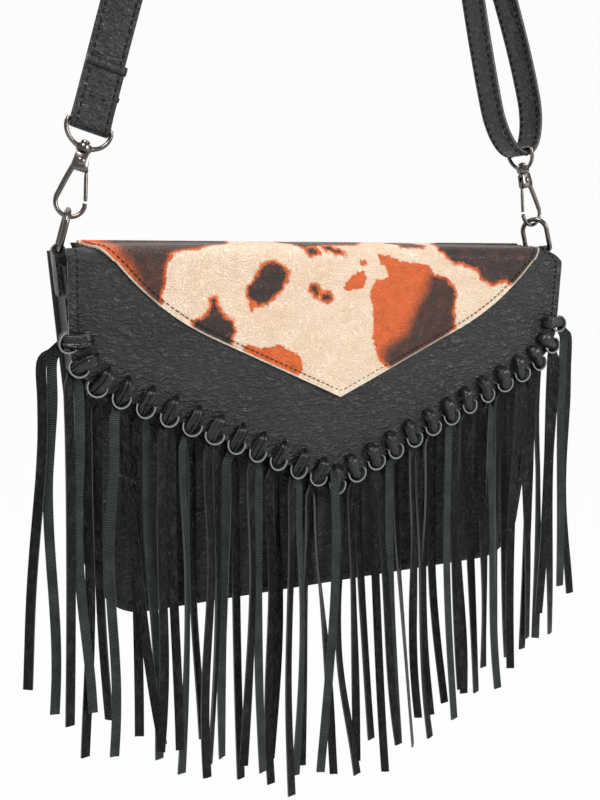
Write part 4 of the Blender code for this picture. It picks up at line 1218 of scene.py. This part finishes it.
def makeGate(side):
    inner = 1 if side == "left" else -1
    place = onLine(side, headTop, fitting["hookTurn"][side])
    shape = bmesh.new()
    half = fitting["gateWidth"] / 2
    knee = -fitting["pinDrop"] - 0.0036
    foot = fitting["noseGap"] - fitting["noseDrop"]
    lug = arc((0, -fitting["pinDrop"]), 0.0016, pi / 2, 1.5 * pi, 10)
    outline = [(inner * p.x, p.y) for p in lug]
    gateX = fitting["gateTop"]
    knob = [(gateX - half - 0.0008, knee + 0.0008), (gateX - half * 0.4, knee - 0.0012),
            (gateX + half * 0.8, knee - 0.0010), (gateX + half, knee), (gateX + half - 0.0010, knee + 0.0028)]
    outline += [(inner * x, z) for x, z in knob]
    slab(shape, outline, -fitting["gatePlate"] / 2, fitting["gatePlate"] / 2, place)
    top = Vector((inner * gateX, knee - 0.0002))
    low = Vector((inner * fitting["gateFoot"], foot))
    bar = [top.lerp(low, k / 8) for k in range(9)]
    rod(shape, flat3(bar), [half * s for s in (0.55, 0.95, 1, 1, 1, 1, 1, 1, 0.9)], place, sides=12)
    metalPiece(f"{side}Gate", shape, f"{side}_gate", f"{side}_gate")


def makeTab(side):
    # Leather folded round the ring's bar and sewn down the gusset
    sign = -1 if side == "left" else 1
    inside = fitting["ringWire"] / 2 + bag["gap"]
    thick = fitting["tabThick"]
    middle = inside + thick / 2
    place = onLine(side, 0, fitting["ringTurn"][side]) @ Matrix.Rotation(pi / 2, 4, "Z")
    shape = bmesh.new()
    turnedHalf = fitting["tabWidth"] / 2
    points = [place @ Vector((middle * cos(a), 0, middle * sin(a)))
              for a in [2 * pi * k / 24 - pi / 2 for k in range(25)]]
    bar = (place.to_3x3() @ Vector((0, 1, 0))).normalized()
    outline, indices = stripOutline(turnedHalf, thick, curl=0.0002)
    stations = frames(points, lambda k: bar)
    sweep(shape, stations, outline, [0] * len(indices), capIndex=1)
    slope = atan2(bag["halfWidth"] - bag["footHalfWidth"], bag["height"])
    top = -fitting["barDrop"] - inside
    line = []
    for k in range(9):
        z = top + 0.0012 - (fitting["tabTongue"] + 0.0010) * k / 8
        face = bag["halfWidth"] + z * sin(slope) / cos(slope) - bag["gussetInset"] / cos(slope)
        line.append(onBag((sign * (face + (bag["gap"] + thick / 2) / cos(slope)), 0, z)))
    sideways = bagTurn @ Vector((0, 1, 0))
    stations = frames(line, lambda k: sideways)
    shaped = []
    for k, (centre, side2, out, along) in enumerate(stations):
        size = 1.0 if k < 7 else (0.93 if k == 7 else 0.72)
        shaped.append((centre, side2 * size, out, along))
    sweep(shape, shaped, outline, [0] * len(indices), capIndex=1)
    piece = meshPiece(f"{side}Tab", shape, ["strapLeather", "rawEdge"], smooth=50)
    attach(piece, "bag")
    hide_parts(f"{side}_tab")


for side in ("left", "right"):
    makeRing(side)
    makeEye(side)
    makeHook(side)
    makeGate(side)
    makeTab(side)
print("rings and clasps made")


def leftPath():
    place = onLine("left", eyeBar)
    wrap = fitting["eyeWire"] / 2 + bag["gap"] + strap["thick"] / 2
    leg = strap["thick"] / 2 + bag["gap"]
    fold = strap["foldBack"]
    path = [(fold, -leg)] + [(fold * (1 - k / 5), -leg) for k in range(1, 4)]
    path += [(wrap * 2.2, -leg), (wrap * 1.2, -wrap * 0.8)]
    path += [(-wrap * sin(pi * k / 12), -wrap * cos(pi * k / 12)) for k in range(13)]
    path += [(wrap * 1.2, wrap * 0.8), (wrap * 2.2, leg)] + [(fold * k / 5, leg) for k in range(2, 6)]
    stations = [(place @ Vector((0, y, z)), 0.0) for z, y in path]
    total = strapStraight - eyeBar
    steps = 70
    for k in range(1, steps + 1):
        share = k / steps
        height = fold * 1.02 + (total - fold * 1.02) * share
        stations.append((place @ Vector((0, leg * (1 - eased(share * 4)), height)), -pi / 2 * eased(share)))
    turn = place.to_3x3()
    return [(p, turn @ Vector((cos(a), sin(a), 0))) for p, a in stations]


def bendPath():
    steps = 22
    centre = Vector((0, 0, -strap["hangRadius"]))
    found = []
    for k in range(1, steps):
        angle = pi - strapLean - (pi - 2 * strapLean) * k / steps
        found.append((centre + bendRadius * Vector((cos(angle), 0, sin(angle))), Vector((0, -1, 0))))
    return found


def rightPath():
    place = onLine("right", eyeBar)
    total = strapStraight - eyeBar
    ply = strap["thick"] / 2
    under = -(strap["sliderWire"] / 2 + bag["gap"] + ply)
    over = strap["sliderWire"] / 2 + bag["gap"] + strap["thick"] + bag["gap"] + ply
    middle = strap["slider"]
    top, low = middle + strap["sliderHalf"], middle - strap["sliderHalf"]
    path = [(total - (total - top) * k / 14, under * eased((k - 7) / 7)) for k in range(15)]
    for start, end, first, last in ((top, middle, under, over), (middle, low, over, under)):
        path += [(start + (end - start) * k / 10, first + (last - first) * eased(k / 10))
                 for k in range(1, 11)]
    foot = fitting["eyeWire"] / 2 + bag["gap"] + ply
    radius = strap["loopHalf"]
    belly = radius * 2.0
    for k in range(1, 31):
        path.append((low + (belly - low) * k / 30, under + (radius - under) * eased(k / 30)))
    for k in range(1, 28):
        path.append((belly - (belly + foot) * sin(pi * k / 28), radius * cos(pi * k / 28)))
    second = under - strap["thick"] - bag["gap"]
    for k in range(31):
        path.append((belly + (low - belly) * k / 30, -radius + (second + radius) * eased(k / 30)))
    path += [(low + (middle - low) * k / 4, second + (under - second) * eased(k / 4)) for k in range(1, 4)]
    path += [(middle - under * sin(pi * k / 8), under * cos(pi * k / 8)) for k in range(9)]
    return [(place @ Vector((out, 0, height)), Vector((0, -1, 0))) for height, out in path]


def makeStrap():
    route = leftPath() + bendPath() + rightPath()
    points = [p for p, _ in route]
    stations = frames(points, lambda k: route[k][1])
    half, thick = strap["width"] / 2, strap["thick"] / 2
    face = [(-half, 0.15 * thick), (-half * 0.985, 0.62 * thick), (-half * 0.94, 0.93 * thick),
            (-half * 0.80, 1.0 * thick), (-half * 0.74, 0.86 * thick), (-half * 0.66, 1.0 * thick),
            (0, 1.03 * thick), (half * 0.66, 1.0 * thick), (half * 0.74, 0.86 * thick),
            (half * 0.80, 1.0 * thick), (half * 0.94, 0.93 * thick), (half * 0.985, 0.62 * thick),
            (half, 0.15 * thick)]
    outline = face + [(a, -b) for a, b in reversed(face)]
    shape = bmesh.new()
    count = len(outline)
    indices = [0] * count
    indices[12] = indices[25] = 1
    sweep(shape, stations, outline, indices, capIndex=1)
    # The folded end: a turned lip across the strap and a ridge where it is sewn down
    place = onLine("left", eyeBar)
    turn = place.to_3x3()
    lip = [(0.0022 * cos(a), 0.0011 * sin(a)) for a in [2 * pi * k / 12 for k in range(12)]]
    for height, proud, tall in ((strap["foldBack"] - 0.0008, 0.0008, 1.0),
                                (strap["foldBack"] * 0.50, 0.0002, 0.55)):
        out = -(strap["thick"] + bag["gap"]) - proud + 0.0006
        line = [place @ Vector((half * 1.03 * (-1 + k / 4), out, height)) for k in range(9)]
        ridge = frames(line, lambda k: turn @ Vector((0, 0, 1)))
        sweep(shape, ridge, [(a * tall, b * tall) for a, b in lip], [0] * 12, capIndex=1)
    piece = meshPiece("strapLeather", shape, ["strapLeather", "edge"], smooth=60)
    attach(piece, "bag")
    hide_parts("strap")
    runs = []
    for faceSide in (-1, 1):
        for rowSide in (-1, 1):
            runs.append([(c + a * (rowSide * half * 0.74) + o * (faceSide * thick * 0.90), o * faceSide)
                         for c, a, o, _ in stations])
    # The sewn-down end: two rows of stitches across the front of the fold
    front = -(strap["thick"] / 2 + bag["gap"]) - thick * 1.0
    low, high, reach = strap["foldBack"] * 0.42, strap["foldBack"] * 0.90, half * 0.60

    def spot(x, z):
        return place @ Vector((x, front, z)), turn @ Vector((0, -1, 0))

    for a, b in (((-reach, low), (reach, low)), ((-reach, high), (reach, high))):
        runs.append([spot(a[0] + (b[0] - a[0]) * k / 6, a[1] + (b[1] - a[1]) * k / 6) for k in range(7)])
    sewn = stitches("strapStitching", runs, "blackThread", pitch=0.0040, length=0.0028, thick=0.0008)
    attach(sewn, "bag")


def makeSlider():
    half = strap["width"] / 2 + strap["sliderWire"] / 2 + 2 * bag["gap"]
    tall = strap["sliderHalf"]
    place = onLine("right", eyeBar + strap["slider"], pi / 2)
    corner = strap["sliderWire"]
    points = []
    for x, z, start in ((half - corner, tall - corner, 0), (-half + corner, tall - corner, pi / 2),
                        (-half + corner, -tall + corner, pi), (half - corner, -tall + corner, 1.5 * pi)):
        points += arc((x, z), corner, start, start + pi / 2, 5)
    shape = bmesh.new()
    rod(shape, flat3(points), strap["sliderWire"] / 2, place, closed=True, sides=12)
    rod(shape, flat3([(-half, 0), (0, 0), (half, 0)]), strap["sliderWire"] * 0.48, place, sides=12)
    metalPiece("strapSlider", shape, "bag", "strap_slider")


makeStrap()
makeSlider()
print("strap threaded")


studio = dict(
    yaw=radians(25.32), pitch=radians(12.32), roll=radians(1.85), offset=(0.0144, 0.5189, 0.0851),
    focal=962.9, pictureHeight=800, film=36, floor=-0.98, floorReach=6.0, around=0.40,
    # Each soft light: its place, what it points at, its width and height, and its power
    lights=dict(
        keyLight=((-0.6, -1.0, 0.75), (0, 0, -0.48), (0.6, 0.6), 16.0),
        fillLight=((1.0, -0.9, -0.1), (0, 0, -0.5), (0.9, 0.9), 5.0),
        sheenLight=((0.62, -1.15, -0.05), (0, 0, -0.52), (0.35, 0.5), 6.5),
        topLight=((0.1, 0.4, 0.9), (0, 0, -0.42), (1.1, 0.7), 10.0),
    ),
)


def photoCamera():
    # Rows of the turn are the camera's right, forward and up in the bag's own frame
    pitch = Matrix.Rotation(studio["pitch"], 3, "X")
    roll = Matrix.Rotation(studio["roll"], 3, "Y")
    turn = pitch @ roll @ Matrix.Rotation(studio["yaw"], 3, "Z")
    eye = -(turn.transposed() @ Vector(studio["offset"]))
    right, forward, up = (Vector(row) for row in turn)
    columns = Matrix((right, up, -forward)).transposed().to_4x4()
    lens = bpy.data.cameras.new("studioCamera")
    lens.sensor_width = studio["film"]
    lens.lens = studio["focal"] / studio["pictureHeight"] * studio["film"]
    lens.clip_start = 0.01
    camera = bpy.data.objects.new("studioCamera", lens)
    bpy.context.scene.collection.objects.link(camera)
    camera.matrix_world = bagFrame @ Matrix.Translation(eye) @ columns
    bpy.context.scene.camera = camera


def softLight(name, place, target, size, power):
    lamp = bpy.data.lights.new(name, "AREA")
    lamp.shape = "RECTANGLE"
    lamp.size, lamp.size_y = size
    lamp.energy = power
    holder = bpy.data.objects.new(name, lamp)
    bpy.context.scene.collection.objects.link(holder)
    holder.location = place
    holder.rotation_euler = (Vector(target) - Vector(place)).to_track_quat("-Z", "Y").to_euler()


def paleFloor():
    shape = bmesh.new()
    low, reach = studio["floor"], studio["floorReach"]
    line = [(-reach, low), (1.6, low), (2.4, low + 0.15), (2.9, low + 0.7), (3.1, low + 1.6), (3.1, low + 5)]
    rows = [[shape.verts.new((x, y, z)) for x in (-reach, reach)] for y, z in line]
    for a, b in zip(rows, rows[1:]):
        shape.faces.new((a[0], a[1], b[1], b[0]))
    paint = Paint("paleFloor", roughness=0.9)
    paint.put("Base Color", (0.82, 0.82, 0.82, 1))
    seen = paint.node("ShaderNodeLightPath", {}, {}, "Is Camera Ray")
    glossy = paint.node("ShaderNodeLightPath", {}, {}, "Is Glossy Ray")
    glow = paint.node("ShaderNodeEmission", {}, {"Color": (1, 1, 1, 1), "Strength": 1.0})
    own = Wire(paint, paint.shader.outputs[0])
    share = paint.sums("MAXIMUM", seen * 0.96, glossy * 0.8)
    mixed = paint.node("ShaderNodeMixShader", {}, {0: share, 1: own, 2: glow})
    paint.links.new(mixed.socket, paint.nodes["Material Output"].inputs["Surface"])
    finishes["floor"] = paint.material
    floor = meshPiece("paleFloor", shape, ["floor"])


def paleWorld():
    world = bpy.data.worlds.new("softRoom")
    bpy.context.scene.world = world
    world.use_nodes = True
    nodes, links = world.node_tree.nodes, world.node_tree.links
    light = nodes["Background"]
    light.inputs[0].default_value = (0.98, 0.99, 1.0, 1)
    light.inputs[1].default_value = studio["around"]
    shown = nodes.new("ShaderNodeBackground")
    shown.inputs[0].default_value = (1, 1, 1, 1)
    path = nodes.new("ShaderNodeLightPath")
    mixed = nodes.new("ShaderNodeMixShader")
    links.new(path.outputs["Is Camera Ray"], mixed.inputs[0])
    links.new(light.outputs[0], mixed.inputs[1])
    links.new(shown.outputs[0], mixed.inputs[2])
    links.new(mixed.outputs[0], nodes["World Output"].inputs[0])


photoCamera()
paleWorld()
paleFloor()
for name, (place, target, size, power) in studio["lights"].items():
    softLight(name, place, target, size, power)
scene = bpy.context.scene
scene.view_settings.view_transform = "Standard"
